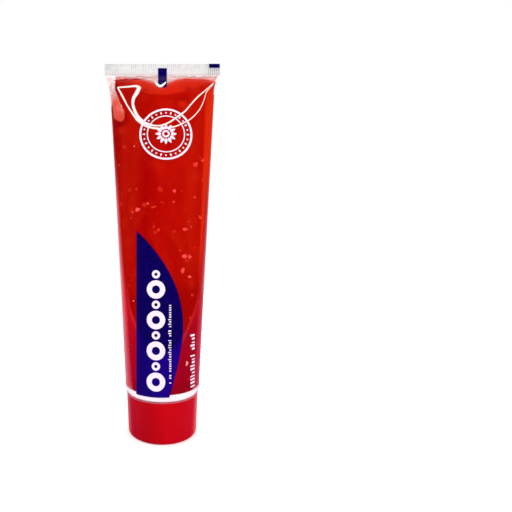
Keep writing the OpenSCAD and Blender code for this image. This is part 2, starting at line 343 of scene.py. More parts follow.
def mesh_object(name, points, faces, material, smooth=True, values=None):
    """A mesh object from points in mm, with named numbers on its points."""
    mesh = bpy.data.meshes.new(name)
    mesh.from_pydata((np.asarray(points) * MM).tolist(), [], faces)
    mesh.validate()
    turned_out(opened(mesh), mesh)
    for key, numbers in (values or {}).items():
        store(mesh, key, numbers)
    return dressed(name, mesh, material, smooth)


def finish_piece(piece, slot, *nodes):
    """Puts a piece on the tube and hides the CAD nodes it stands for; the slot is not used."""
    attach(piece, "tube")
    if nodes:
        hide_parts(*nodes)
    print(f"{piece.name}: {sum(len(p.vertices) - 2 for p in piece.data.polygons)} triangles")


def grid_faces(rows, cols, closed, start=0, flip=False):
    """Quads over stacked rows of points, the last column joined to the first if closed."""
    faces = []
    for r in range(rows - 1):
        for c in range(cols if closed else cols - 1):
            a = start + r * cols + c
            b = start + r * cols + (c + 1) % cols
            quad = [a, b, b + cols, a + cols]
            faces.append(quad[::-1] if flip else quad)
    return faces


# %% [markdown]
# Shared effects are shader node groups. The first is a soft mottle, for colour that drifts.
# The second is the slow waviness of blown film, which breaks up reflections. The third is the
# fine grain that a steel mould leaves on plastic, with faint handling marks in the gloss. The
# last masks a painted reflection under an arch: near the foot, gel and ink are painted lighter
# in place of the light that the pale ground throws back, and the zone's edge is a curve,
# because the sleeve is round there. They put out masks and normals; each material gives them
# its own scale and strength.

# %% Shader groups
MOTTLE, enter = node_group("Mottle", "ShaderNodeTree",
                           {"Scale": 80.0, "Stretch": 1.0, "Low": 0.35, "High": 0.65},
                           {"Mask": "Float"})
cloud = MOTTLE.noise(enter["Stretch"], Scale=enter["Scale"], Detail=3.0, Roughness=0.55)
MOTTLE.add("NodeGroupOutput", {"Mask": MOTTLE.ranged(cloud, enter["Low"], enter["High"])})

WAVES, enter = node_group("Film waves", "ShaderNodeTree",
                          {"Scale": 60.0, "Stretch": 0.3, "Depth": 0.00006},
                          {"Normal": "Vector"})
swell = WAVES.noise(enter["Stretch"], Scale=enter["Scale"], Detail=1.5, Roughness=0.4)
WAVES.add("NodeGroupOutput", {"Normal": WAVES.bump(WAVES.times(swell, enter["Depth"]))})

GRAIN, enter = node_group("Moulded grain", "ShaderNodeTree",
                          {"Scale": 2600.0, "Depth": 0.000012, "Gloss": 0.3, "Wear": 0.12},
                          {"Normal": "Vector", "Roughness": "Float", "Mask": "Float"})
grit = GRAIN.noise(1.0, Scale=enter["Scale"], Detail=2.0)
patch = GRAIN.ranged(GRAIN.noise(0.5, Scale=140.0, Detail=4.0, Roughness=0.6), 0.42, 0.68)
GRAIN.add("NodeGroupOutput", {
    "Normal": GRAIN.bump(GRAIN.times(grit, enter["Depth"])),
    "Roughness": GRAIN.calc("MULTIPLY_ADD", patch, enter["Wear"], enter["Gloss"]),
    "Mask": patch})

# The mask of the painted reflection under the arch at the foot.
FOOT_REFLECTION, enter = node_group("Foot arch, painted reflection", "ShaderNodeTree",
                         {"Crown": 0.040, "Bend": 90.0, "Soft": 0.0013}, {"Mask": "Float"})
where = FOOT_REFLECTION.place()
curve = FOOT_REFLECTION.calc("MULTIPLY_ADD", FOOT_REFLECTION.times(where["X"], where["X"]), enter["Bend"],
                  enter["Crown"])
outer = FOOT_REFLECTION.calc("MAXIMUM", FOOT_REFLECTION.calc("SUBTRACT", -0.0144, where["X"]), 0.0)
steep = FOOT_REFLECTION.calc("ADD", curve, FOOT_REFLECTION.times(outer, 3.0))
above = FOOT_REFLECTION.calc("SUBTRACT", where["Z"], FOOT_REFLECTION.calc("SMOOTH_MIN", steep, 0.068, 0.008))
side = FOOT_REFLECTION.calc("SUBTRACT", FOOT_REFLECTION.calc("ABSOLUTE", where["X"]), 0.0145)
blur = FOOT_REFLECTION.calc("ADD", enter["Soft"], FOOT_REFLECTION.times(FOOT_REFLECTION.calc("MAXIMUM", side, 0.0), 2.4))
FOOT_REFLECTION.add("NodeGroupOutput", {"Mask": FOOT_REFLECTION.ranged(above, blur, FOOT_REFLECTION.times(blur, -1.0))})
print("groups:", [g.name for g in bpy.data.node_groups])


class Paint(Net):
    """A material: a net that ends in a Principled shader."""

    def __init__(self, name, **constants):
        self.made = bpy.data.materials.new(name)
        self.made.use_nodes = True
        super().__init__(self.made.node_tree)
        self.shader = self.tree.nodes["Principled BSDF"]
        self.fill(**constants)

    def fill(self, **inputs):
        """Feeds the shader's inputs, named with underscores for spaces."""
        for key, value in inputs.items():
            self.feed(self.shader.inputs[key.replace("_", " ")], value)

    def placed(self, group, **inputs):
        """A shared group with this material's own values."""
        return self.add("ShaderNodeGroup", inputs, node_tree=group.tree)

    def along(self, axis, low, high, **ends):
        """A soft step along an axis of the object, in metres."""
        return self.ranged(self.place()[axis], low, high, **ends)

    def mottle(self, scale, stretch, low, high):
        """The mask of the shared mottle."""
        return self.placed(MOTTLE, Scale=scale, Stretch=stretch, Low=low, High=high)["Mask"]

    def waves(self, scale, stretch, depth):
        """The normal of the shared film waves."""
        return self.placed(WAVES, Scale=scale, Stretch=stretch, Depth=depth)["Normal"]

    def attribute(self, name):
        """A number stored on the mesh."""
        return self.add("ShaderNodeAttribute", attribute_name=name)["Fac"]

    def facing(self):
        """0 where the skin faces the eye, 1 where it is seen edge on."""
        return self.add("ShaderNodeLayerWeight", {"Blend": 0.5})["Facing"]


# %% [markdown]
# The gel is a clear red paste seen through glossy film. Full refraction through a thin film
# is slow and noisy, so the gel is opaque and carries the film's gloss itself. Its colour
# drifts from crimson to orange-red in tall streaks and grows paler where the gel runs thin at
# the top. Painted light is laid over that: highlights at both rims, an orange highlight stripe
# down the right side, painted light along the top, painted shade on the lower flanks, on the
# back and in stored spots, and a painted reflection of the pale ground under the arch.

# %% Gel material
paint = Paint("Red gel", Roughness=0.10, IOR=1.42, Specular_IOR_Level=0.10)
RED_GEL = paint.made
# Across the width: painted highlights at both rims, a painted dark line just inside each rim, and
# a painted orange highlight stripe down the right side.
bands = paint.ramp(
    paint.attribute("across"), (0.0, (205, 60, 66)), (0.012, (162, 4, 5)), (0.05, (168, 2, 2)),
    (0.12, (184, 10, 2)), (0.24, (182, 6, 2)), (0.33, (174, 0, 1)), (0.50, (192, 8, 1)),
    (0.68, (192, 8, 1)), (0.80, (198, 17, 1)), (0.90, (190, 9, 1)), (0.925, (222, 44, 6)),
    (0.972, (222, 44, 10)), (0.99, (216, 66, 70)), (1.0, (222, 90, 96)))
to_right = paint.along("X", 0.0, 0.012)
# Painted shade over the lower body, then the painted reflection of the pale ground under the
# arch, with a painted highlight along the arch's edge.
lower_shade = paint.mix(to_right, paint.along("Z", 0.070, 0.061), paint.along("Z", 0.086, 0.064))
reflected_glow = paint.mix(paint.along("Z", 0.060, 0.046),
                 paint.mix(to_right, (206, 14, 32), (192, 6, 26)),
                 paint.mix(to_right, (190, 6, 32), (168, 3, 31)))
arch = paint.placed(FOOT_REFLECTION)["Mask"]
arch_edge_highlight = paint.calc("SUBTRACT", arch, paint.placed(FOOT_REFLECTION, Crown=0.037)["Mask"])
colour = paint.tint(
    bands,
    (paint.mottle(60.0, 0.22, 0.38, 0.66), 0.40, (206, 26, 4)),
    (paint.mottle(95.0, 0.4, 0.52, 0.74), 0.50, (166, 0, 1)),
    (paint.mottle(210.0, 0.6, 0.48, 0.78), 0.30, (214, 38, 10)),
    (lower_shade, 0.85, (166, 1, 1)),
    (arch, 0.85, reflected_glow),
    (arch_edge_highlight, 0.22, (232, 66, 66)),
    # Painted: a darker, violet-tinted crimson toward the foot, shade on the back face, and a pink
    # sheen at grazing angles.
    (paint.along("Z", 0.050, 0.024), 0.8, (164, 1, 33)),
    (paint.along("Y", -0.002, 0.004), 0.70, (142, 0, 5)),
    (paint.calc("POWER", paint.facing(), 7.0), 0.3, (236, 84, 96)),
    # Stored numbers: painted light at the top with orange spots, paler thin gel, and painted
    # shade.
    (paint.attribute("lit_top_and_spots"), 1.0, (228, 42, 14)),
    (paint.attribute("thin"), 1.0, (240, 110, 98)),
    (paint.attribute("shade"), 1.0, (138, 0, 2)))
paint.fill(Base_Color=colour, Normal=paint.waves(45.0, 0.35, 0.00010))

# %% [markdown]
# The film itself only shows where no gel lies behind it: in the corner pockets, at the seal,
# and as a pale rim where it is seen edge on, whose tones are painted highlights, different on
# each side, with a painted violet reflection of the ground low down. Its alpha comes from a haze
# value stored on the mesh, raised at grazing angles by Layer Weight. The welded seal is the same
# film, milky from the crimping heat, with painted shade in the valleys between its ridges toward
# the ends.

# %% Film materials
paint = Paint("Clear film", Roughness=0.12, IOR=1.45, Specular_IOR_Level=0.3)
CLEAR_FILM = paint.made
facing = paint.facing()
filled = paint.attribute("filled")
left = paint.along("X", 0.002, -0.002)
# Painted rim highlights, with a tone of their own on each side, pinker and lighter toward
# grazing; the left one is painted darker higher up.
rim_left = paint.ramp(
    facing, (0.42, (212, 40, 48)), (0.50, (210, 48, 56)), (0.56, (210, 66, 72)),
    (0.62, (216, 84, 92)), (0.68, (226, 108, 116)), (0.84, (242, 172, 180)))
rim_left = paint.mix(paint.along("Z", 0.070, 0.090, to_high=0.22), rim_left,
                     (170, 10, 20))
rim_right = paint.ramp(
    facing, (0.46, (190, 14, 26)), (0.58, (186, 28, 40)), (0.64, (188, 42, 54)),
    (0.72, (194, 62, 72)), (0.84, (210, 118, 126)))
# Low down both rims take a painted violet reflection of the ground.
low_rim = paint.tint(paint.mix(left, rim_right, rim_left),
                     (paint.along("Z", 0.060, 0.030), 0.30, (148, 28, 84)))
# Higher up, the right rim is a painted orange highlight darkening at its outer edge, and the left
# rim is dark crimson with dotted painted white highlights.
edge = paint.ranged(facing, 0.78, 0.92)
highlight_dots = paint.times(edge, paint.mottle(620.0, 0.8, 0.46, 0.56))
high_rim = paint.mix(left, paint.mix(edge, (216, 44, 10), (184, 18, 4)),
                     paint.mix(highlight_dots, (158, 6, 6), (244, 204, 206)))
rim_highlight_tone = paint.mix(paint.along("Z", 0.100, 0.135), low_rim, high_rim)
# Painted shade in the valleys between the seal ridges, toward both ends and strongest on the
# right.
ridge = paint.calc("COSINE", paint.times(paint.place()["X"], TURN / (RIDGE_PITCH * MM)))
ends = paint.calc("ADD", paint.along("X", 0.0190, 0.0225),
                  paint.along("X", -0.0180, -0.0225, to_high=0.3))
sealed = paint.times(ends, paint.along("Z", 0.1680, 0.1686))
valley_shade = paint.times(paint.ranged(ridge, 0.35, 1.0), sealed)
bare = paint.mix(valley_shade, (248, 242, 241), (150, 148, 152))
rim = paint.blend(filled, paint.times(paint.calc("POWER", facing, 6.0), 0.30),
                  paint.times(paint.ranged(facing, 0.42, 0.58), 0.96))
haze = paint.calc("MULTIPLY_ADD", paint.mottle(420.0, 0.25, 0.60, 0.78), 0.008,
                  paint.attribute("haze"))
paint.fill(Base_Color=paint.mix(filled, bare, rim_highlight_tone),
           Alpha=paint.calc("ADD", haze, rim, clamp=True),
           Normal=paint.waves(120.0, 0.5, 0.00008))

paint = Paint("Milky seal", Roughness=0.28, IOR=1.45)
MILKY_SEAL = paint.made
cloudy = paint.mottle(260.0, 1.0, 0.35, 0.7)
# A painted highlight lightens the lower end of the seal.
root_highlight = paint.along("Z", 0.1712, 0.1690)
tone = paint.mix(cloudy, (220, 221, 222), (242, 243, 244))
paint.fill(Base_Color=paint.mix(root_highlight, tone, (255, 254, 253)),
           Alpha=paint.calc("MULTIPLY_ADD", cloudy, 0.12, 0.72),
           Normal=paint.waves(500.0, 0.6, 0.00006))

# Real air under the film, drawn as white painted highlights that glow faintly.
paint = Paint("Air under film", Roughness=0.2, IOR=1.4, Emission_Strength=0.16)
AIR_HIGHLIGHT = paint.made
cloudy = paint.mottle(500.0, 1.0, 0.3, 0.7)
paint.fill(Base_Color=paint.mix(cloudy, (255, 250, 244), (247, 238, 232)),
           Alpha=paint.attribute("solid"))

paint = Paint("Air pocket", Roughness=0.12, IOR=1.42)
CORNER_AIR = paint.made
low = paint.along("Z", 0.1505, 0.1465, to_high=0.75)
backed = paint.mix(paint.mottle(220.0, 0.6, 0.35, 0.7), (238, 98, 82), (252, 136, 122))
bare = paint.mix(paint.mottle(520.0, 0.8, 0.44, 0.60), (246, 224, 220), (226, 184, 180))
tone = paint.mix(paint.attribute("pale"), paint.mix(low, backed, (236, 66, 42)), bare)
# The stored edge is a painted darker rose shade along the pocket's outer edge.
paint.fill(Base_Color=paint.mix(paint.attribute("edge"), tone, (176, 46, 50)),
           Alpha=paint.attribute("solid"), Normal=paint.waves(260.0, 0.5, 0.00012))

paint = Paint("Bubble in gel", Roughness=0.3, IOR=1.4, Specular_IOR_Level=0.1)
BUBBLE_AND_GLINT = paint.made
# Bubble tones run up to bright pink; the near-white top of the ramp is a painted glint.
paint.fill(Base_Color=paint.ramp(
    paint.attribute("tone"), (0.0, (184, 8, 2)), (0.22, (190, 10, 3)), (0.30, (204, 24, 6)),
    (0.62, (214, 38, 12)), (0.74, (224, 52, 32)), (0.86, (248, 80, 72)),
    (0.94, (250, 104, 98)), (1.0, (255, 226, 214))))

# %% [markdown]
# The inks are thin screen-printed layers on the film. Solid ink is never quite even, so a
# mottle moves its tone a little, and the film's waves run through its gloss; the navy ink also
# takes the painted reflection under the arch. The cap's flanks carry painted shade toward its
# sides and a painted rim highlight at the edges, and its rim under the white band has a painted
# highlight. The head darkens in the neck, which only shows when the tube is lifted.

# %% Ink and plastic materials
def ink(name, dark, light, roughness):
    """A screen-printed ink that varies between two tones."""
    paint = Paint(name, Roughness=roughness, IOR=1.45, Specular_IOR_Level=0.12)
    paint.fill(Base_Color=paint.mix(paint.mottle(700.0, 0.7, 0.35, 0.7), dark, light),
               Normal=paint.waves(45.0, 0.35, 0.00010))
    return paint


paint = ink("Navy ink", (8, 0, 78), (14, 1, 90), 0.10)
NAVY_INK = paint.made
plain = paint.shader.inputs["Base Color"].links[0].from_socket
# Under the arch the navy ink takes the painted reflection of the pale ground, brighter on the
# right.
reflected_glow = paint.mix(paint.along("X", -0.009, 0.001), (11, 0, 101), (24, 0, 124))
paint.fill(Base_Color=paint.mix(paint.placed(FOOT_REFLECTION, Soft=0.0024)["Mask"], plain, reflected_glow))
WHITE_INK = ink("White ink", (247, 224, 243), (252, 238, 250), 0.3).made
BACK_INK = ink("Thin white ink", (206, 116, 124), (224, 148, 156), 0.3).made
BOLD_INK = ink("Bold back ink", (238, 186, 202), (246, 206, 218), 0.3).made
DARK_RED_INK = ink("Dark red ink", (56, 2, 5), (78, 6, 8), 0.25).made
TONE_INK = ink("Red ink", (176, 12, 10), (190, 22, 16), 0.25).made

paint = Paint("Red cap plastic", IOR=1.5, Specular_IOR_Level=0.04)
RED_PLASTIC = paint.made
grain = paint.placed(GRAIN, Scale=2200.0, Depth=0.000016, Gloss=0.30, Wear=0.10)
facing = paint.facing()
# Painted shade and highlight by the angle of view: the flanks darken toward the sides and turn to
# a pinker painted rim highlight at the edges, lighter on the right.
flank_left = paint.ramp(
    facing, (0.0, (196, 0, 12)), (0.20, (172, 0, 16)), (0.54, (166, 0, 32)),
    (0.63, (176, 26, 48)), (0.71, (197, 66, 80)), (0.84, (216, 108, 120)))
flank_right = paint.ramp(
    facing, (0.0, (196, 0, 12)), (0.54, (190, 0, 28)), (0.63, (202, 36, 50)),
    (0.71, (222, 82, 90)), (0.84, (236, 128, 134)))
flank = paint.mix(paint.along("X", -0.002, 0.002), flank_left, flank_right)
specks = paint.calc("ADD", paint.mottle(900.0, 1.0, 0.40, 0.62), grain["Mask"])
flank = paint.tint(flank, (specks, 0.14, (208, 6, 24)))
# A painted highlight along the cap's top rim, just under the white band.
lip = paint.along("Z", 0.0183, 0.0185, to_high=0.5)
paint.fill(Base_Color=paint.mix(lip, flank, (246, 150, 166)), Roughness=grain["Roughness"],
           Normal=grain["Normal"])

paint = Paint("White head plastic", IOR=1.46)
WHITE_PLASTIC = paint.made
grain = paint.placed(GRAIN, Scale=1800.0, Depth=0.00001, Gloss=0.26, Wear=0.12)
neck = paint.along("Z", 0.0186, 0.0170)
tone = paint.mix(neck, paint.mix(grain["Mask"], (255, 248, 254), (254, 240, 250)),
                 paint.mix(grain["Mask"], (226, 220, 223), (214, 208, 212)))
paint.fill(Base_Color=tone, Roughness=grain["Roughness"], Normal=grain["Normal"])

for name, finish in (("screw_cap", RED_PLASTIC), ("tube_head", WHITE_PLASTIC)):
    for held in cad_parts[name].material_slots:
        held.material = finish
print("materials:", [m.name for m in bpy.data.materials])

# %% [markdown]
# The gel doesn't fill the bag to its corners. In one top corner it has drawn back from the
# film and left a finger of air, and its top edge runs in a wave below the weld. These few
# numbers describe both, read off the tube, and the haze of the film follows them.

# %% Where the gel ends
GEL_FOOT = 22.3
GEL_LEFT = ([60, 143, 144, 148, 152, 156, 158, 160.5, 163, 168],
            [40, 40, 24.6, 24.4, 24.0, 23.3, 22.9, 22.7, 22.6, 22.5])
GEL_TOP = ([-26, -22, -18, -13, -8.2, -4.9, -2.6, -1.1, 1.3, 3.4, 7.3, 12, 18, 22, 26],
           [164.6, 166.3, 166.6, 166.4, 165.2, 163.6, 162.0, 161.4, 162.0, 163.6, 165.4,
            166.2, 166.2, 165.9, 165.0])


def gel_left(z):
    """Half width at which the gel stops on the side of the air pocket."""
    return np.interp(z, *GEL_LEFT)


def gel_top(x):
    """Height of the gel's wavy top edge."""
    return np.interp(x, *GEL_TOP)


print("gel's top edge in the middle:", round(float(gel_top(0.0)), 1), "mm")

# %% [markdown]
# The sleeve is a bag with a wall. Rings of points are stacked from the open foot to the top
# of the seal, and a second stack, one wall's thickness inside, stops where the two walls meet.
# Above the weld the section turns into a flat strip. The rows lie closer together near the
# weld, where the shape changes fastest.

# %% Film sleeve
WALL_SEEN = 0.12
RING = 224
turns = np.arange(RING) * TURN / RING


def section(z, inset):
    """One ring of the sleeve at a height, a wall's thickness inside."""
    cosine, sine = np.cos(turns), np.sin(turns)
    face = np.where(sine >= 0, 1.0, -1.0)
    if z >= SEAL_Z - 0.001:
        x = FLAT_HALF * cosine
        y = (FILM_T - inset) * np.abs(sine) ** (2 * (1 - 0.93 * fade(z, SEAL_Z, 0.5)))
    else:
        s = float(sharpness(z))
        x = (half_width(z, cosine) - inset * (4 * s - 1)) * cosine
        y = (float(half_thick(np.array(z))) - inset) * np.abs(sine) ** (2 * s)
        y = dented(y, x, z, face)
    return np.stack([x, face * y, np.full(RING, z)], axis=-1)


low_rows = [SLEEVE_Z + EDGE_H * (1 - math.cos(math.pi / 2 * k / 8)) for k in range(8)]
body_rows = list(np.linspace(EDGE_Z, 140, 66))
neck_rows = list(np.linspace(141.2, SEAL_Z, 60))
seal_rows = [SEAL_Z + d for d in (0.1, 0.25, 0.5, 1.5, 3.0, 4.4)] + [TOP_Z - 0.1, TOP_Z]
outer_z = low_rows + body_rows + neck_rows + seal_rows
inner_z = low_rows + body_rows[::2] + [z for z in neck_rows[::2] if z < FUSED_Z - 0.2]
outer = np.stack([section(z, 0.0) for z in outer_z])
outer[-1, :, 1] *= 0.6
inner = np.stack([section(z, WALL_SEEN) for z in inner_z])
first_inner = len(outer_z) * RING
faces = grid_faces(len(outer_z), RING, True)
faces += grid_faces(len(inner_z), RING, True, first_inner, flip=True)
for c in range(RING):
    d = (c + 1) % RING
    faces.append([d, c, first_inner + c, first_inner + d])
top_ring = (len(outer_z) - 1) * RING
lid_ring = first_inner + (len(inner_z) - 1) * RING
for c in range(RING // 2):
    quad = list(dict.fromkeys([c, c + 1, (RING - c - 1) % RING, (RING - c) % RING]))
    faces.append([top_ring + i for i in quad])
    faces.append([lid_ring + i for i in quad[::-1]])
points = np.concatenate([outer.reshape(-1, 3), inner.reshape(-1, 3)])
print("sleeve rows:", len(outer_z), "outside,", len(inner_z), "inside")

x, y, z = points.T
pocket = fade(-x, gel_left(z), 0.8) * fade(z, 151, 4)
weld = fade(z, gel_top(x), 0.8) * (z < SEAL_Z + 0.3)
below = np.clip(SEAL_Z - z, 0, None)
haze = 0.001 + 0.07 * pocket + 0.20 * weld
haze = np.maximum(haze, 0.30 * np.exp(-(below / 0.45) ** 2))
haze = np.maximum(haze, 0.80 * fade(z, SEAL_Z, 0.3))
filled = np.clip(1 - pocket - weld, 0, 1) * (z < SEAL_Z - 0.4) * (z > GEL_FOOT)
film = mesh_object("film_sleeve", points, faces, CLEAR_FILM,
                   values={"haze": haze, "filled": filled})
film.visible_shadow = False
finish_piece(film, "clear_film", "tube_sleeve")

# %% [markdown]
# The seal jaws press a row of upright ridges into both faces of the weld. They all have one
# shape and one pitch, which is what Geometry Nodes are for: a line of points, a small round
# bar on each, made real at the end so that the export keeps them.

# %% Seal ridges with Geometry Nodes
def geometry_group(name, **inputs):
    """An empty geometry tree with named inputs and a material."""
    return node_group(name, "GeometryNodeTree",
                      {"Geometry": "Geometry", **inputs, "Material": "Material"},
                      {"Geometry": "Geometry"})


def close_tree(net, geometry, material):
    """Ends a tree in Realize Instances and Set Material."""
    real = net.add("GeometryNodeRealizeInstances", {0: geometry})[0]
    painted = net.add("GeometryNodeSetMaterial", {"Geometry": real, "Material": material})[0]
    net.add("NodeGroupOutput", {0: painted})


def baked(net, base=None, **settings):
    """Runs a tree once on a mesh and gives the plain mesh that comes out."""
    carrier = in_scene("carrier", base or bpy.data.meshes.new("carrier"))
    modifier = carrier.modifiers.new("tree", "NODES")
    modifier.node_group = net.tree
    for item in net.tree.interface.items_tree:
        if item.in_out == "INPUT" and item.name in settings:
            modifier[item.identifier] = settings[item.name]
    graph = bpy.context.evaluated_depsgraph_get()
    mesh = bpy.data.meshes.new_from_object(carrier.evaluated_get(graph))
    bpy.data.objects.remove(carrier)
    return mesh


def line_of_points(net, enter):
    """A row of points along X from a count and a pitch."""
    step = net.vector(X=enter["Pitch"])
    return net.add("GeometryNodeMeshLine", {"Count": enter["Count"], "Offset": step})[0]


def joined(name, meshes, material, smooth):
    """One object out of several plain meshes."""
    whole = opened(*meshes)
    for face in whole.faces:
        face.material_index = 0
    mesh = bpy.data.meshes.new(name)
    turned_out(whole, mesh)
    return dressed(name, mesh, material, smooth)


RIDGES, enter = geometry_group("Seal ridges", Count="Int", Pitch="Float", Width="Float",
                               Depth="Float", Length="Float", Face="Float")
size = RIDGES.vector(X=enter["Width"], Y=enter["Depth"], Z=enter["Length"])
bar = RIDGES.add("GeometryNodeMeshCylinder", {"Vertices": 8, "Radius": 1.0, "Depth": 1.0})[0]
stood = RIDGES.add("GeometryNodeInstanceOnPoints",
                   {"Points": line_of_points(RIDGES, enter), "Instance": bar,
                    "Scale": size})[0]
half_row = RIDGES.times(RIDGES.calc("SUBTRACT", enter["Count"], 1.0), -0.5)
start = RIDGES.vector(X=RIDGES.times(half_row, enter["Pitch"]), Y=enter["Face"],
                      Z=(TOP_Z + SEAL_Z) / 2 * MM)
moved = RIDGES.add("GeometryNodeTransform", {"Geometry": stood, "Translation": start})[0]
close_tree(RIDGES, moved, enter["Material"])

ridge_meshes = [baked(RIDGES, Count=RIDGE_COUNT, Pitch=RIDGE_PITCH * MM, Width=RIDGE_W * MM,
                      Depth=RIDGE_H * MM, Length=RIDGE_L * MM, Face=face * FILM_T * MM,
                      Material=MILKY_SEAL)
                for face in (FRONT, BACK)]
finish_piece(joined("seal_ridges", ridge_meshes, MILKY_SEAL, True), "clear_film",
             "tube_sleeve")

# %% [markdown]
# The gel is a second stack of rings just inside the film, but its rings end at the air pocket
# on one side and rise to the wavy top edge. At the foot it turns in to the head's skirt and
# follows the cone down to the mouth of the neck. Numbers stored on its points say where it has
# painted light at the top or an orange spot, where it is thin, and where it is in painted shade.

# %% Gel
GEL_IN = 0.26
AIR_IN = 0.22
HEAD_IN = 17.03
GEL_RIM = 166.6
GEL_RING = 208
turns_gel = np.arange(GEL_RING) * TURN / GEL_RING


def gel_ring(z, share=0.0):
    """One ring of gel; share runs from 0 to 1 over the rounded top."""
    cosine, sine = np.cos(turns_gel), np.sin(turns_gel)
    face = np.where(sine >= 0, 1.0, -1.0)
    wall = half_width(z, cosine) - GEL_IN * (4 * sharpness(z) - 1)
    reach = np.where(cosine < 0, np.minimum(wall, gel_left(z)), wall)
    x = reach * cosine
    height = z + np.interp(z, [148, 167], [0, 1]) * (gel_top(x) - GEL_RIM)
    s = sharpness(height)
    wall = half_width(height, x) - GEL_IN * (4 * s - 1)
    y = (half_thick(height) - GEL_IN) * np.clip(1 - (x / wall) ** 2, 0, None) ** s
    y = dented(y, x, height, face)
    drawn = np.clip(wall - reach, 0, 2) / 2
    near_end = np.clip((reach - np.abs(x)) / (0.9 * drawn + 1e-6), 0, 1)
    y = y * np.where(drawn > 0.01, np.sqrt(np.clip(near_end * (2 - near_end), 0, 1)), 1)
    y = y * math.sqrt(max(0.0, 1 - share * share))
    return np.stack([x, face * np.maximum(y, 0), height + 0.5 * share], axis=-1)


foot = [(0.01, 18.26), (3.9, 18.26), (15.9, 20.95), (16.02, 21.2), (16.02, SKIRT_Z + 0.03)]
foot += [(HEAD_IN, z) for z in (SKIRT_Z + 0.03, SKIRT_Z - 1, SKIRT_Z - 2, GEL_FOOT)]
foot += [(SLEEVE_R - GEL_IN, z) for z in (GEL_FOOT, SKIRT_Z - 2, SKIRT_Z - 1, SKIRT_Z)]
rings = [np.stack([r * np.cos(turns_gel), r * np.sin(turns_gel), np.full(GEL_RING, z)],
                  axis=-1) for r, z in foot]
rings += [gel_ring(z) for z in np.linspace(SKIRT_Z + 0.3, 140, 72)]
rings += [gel_ring(z) for z in np.linspace(141, 165.8, 56)]
rings += [gel_ring(166.0, share) for share in (0.3, 0.6, 0.8, 0.95, 1.0)]
gel_points = np.stack(rings).reshape(-1, 3)
gel_x, gel_y, gel_z = gel_points.T


def spots(*places):
    """Soft round spots on the gel, given as (x, z, width, height, strength)."""
    made = np.zeros_like(gel_x)
    for x0, z0, wide, tall, strength in places:
        fall = np.exp(-((gel_x - x0) / wide) ** 2 - ((gel_z - z0) / tall) ** 2)
        made = np.maximum(made, strength * fall)
    return made


thin = 0.70 * np.exp(-np.clip(gel_top(gel_x) - gel_z, 0, None) / 0.9)
thin = np.where(gel_z > 150, thin, 0)
top_light = np.interp(gel_x, [-26, -14, -10, -5.7, 1.2, 7.2, 12.8, 17.6, 24],
                      [164, 161.8, 158.3, 156.4, 155.9, 157, 159.5, 162, 164])
# Painted light along the top of the gel, strongest in front, and a few orange spots in the gel.
lit_top_and_spots = (0.62 - 0.2 * fade(gel_x, 4, 12)) * fade(gel_x, -18.5, 6) \
    * fade(gel_z, top_light, 0.8) * np.where(gel_y < 0, 1, 0.3)
lit_top_and_spots = np.maximum(lit_top_and_spots, spots(
    (9.4, 151.7, 2.2, 2.0, 0.7), (-18.4, 140.6, 2.2, 2.4, 0.35), (-12, 133, 1, 1.5, 0.2),
    (-14, 103, 1.4, 1.8, 0.35), (15, 118, 2, 2.4, 0.3), (13, 70, 1.6, 2.5, 0.35)))
shade = 0.85 * np.exp(-((gel_x + gel_left(gel_z) - 0.5) / 0.7) ** 2) * (gel_z > 146) \
    * fade(gel_z, 166, -3)
shade = np.maximum(shade, spots(
    (-19.0, 143.2, 2.6, 1.3, 0.8), (-16.8, 146.0, 0.9, 2.6, 0.6), (-8, 159, 1.3, 0.8, 0.5),
    (12, 160.2, 1.5, 0.7, 0.5), (9.6, 154.4, 2.4, 0.7, 0.45), (22.3, 163.3, 1.6, 1.2, 0.5),
    (-13.2, 153.0, 1.6, 4.0, 0.35)))
shade = np.maximum(shade, 0.45 * fade(gel_z, 27.2, -2.4))
across = 0.5 + 0.5 * gel_x / half_width(np.clip(gel_z, SKIRT_Z, 167), gel_x)
gel = mesh_object("gel_fill", gel_points, grid_faces(len(rings), GEL_RING, True), RED_GEL,
                  values={"thin": thin, "lit_top_and_spots": lit_top_and_spots, "shade": shade, "across": across})
welded = opened(gel.data)
bmesh.ops.remove_doubles(welded, verts=welded.verts, dist=0.012 * MM)
open_edges = [e for e in welded.edges if e.is_boundary]
print("edges of the gel's mouth before it is closed:", len(open_edges))
bmesh.ops.holes_fill(welded, edges=open_edges, sides=0)
turned_out(welded, gel.data)
finish_piece(gel, "red_gel", "red_gel")

# %% [markdown]
# Ink lies on the skin as a thin sheet with a top, a bottom and a rim. One helper lays any
# grid of places on a face at a height, with numbers for the shader where it needs them, and
# small ones give the sheets of a box and a ring. The last stacks sheets into one piece.

# %% Helpers for sheets
INK_LOW = 0.04
INK_T = 0.05
THIN_INK = 0.03
LAYER = INK_LOW + INK_T


def sheet(rows, face, low=INK_LOW, thick=INK_T, closed=False, **values):
    """Points, faces and numbers of a thin sheet over rows of (x, z) places, going up."""
    grid = np.asarray(rows, dtype=float)
    nr, nc = grid.shape[:2]
    size = nr * nc
    flat_x, flat_z = grid.reshape(-1, 2).T
    rise = np.broadcast_to(thick, (nr, nc)).reshape(-1)
    top = on_skin(flat_x, flat_z, low + rise, face)
    bottom = on_skin(flat_x, flat_z, np.full_like(flat_x, low), face)
    made = grid_faces(nr, nc, closed)
    made += grid_faces(nr, nc, closed, size, flip=True)
    last = (nr - 1) * nc
    across = range(nc if closed else nc - 1)
    edges = [(c, (c + 1) % nc) for c in across]
    edges += [(last + (c + 1) % nc, last + c) for c in across]
    if not closed:
        edges += [(r * nc + nc - 1, (r + 1) * nc + nc - 1) for r in range(nr - 1)]
        edges += [((r + 1) * nc, r * nc) for r in range(nr - 1)]
    made += [[b, a, a + size, b + size] for a, b in edges]
    if face == BACK:
        made = [f[::-1] for f in made]
    held = {key: np.tile(np.broadcast_to(numbers, (nr, nc)).reshape(-1), 2)
            for key, numbers in values.items()}
    return np.concatenate([top, bottom]), made, held


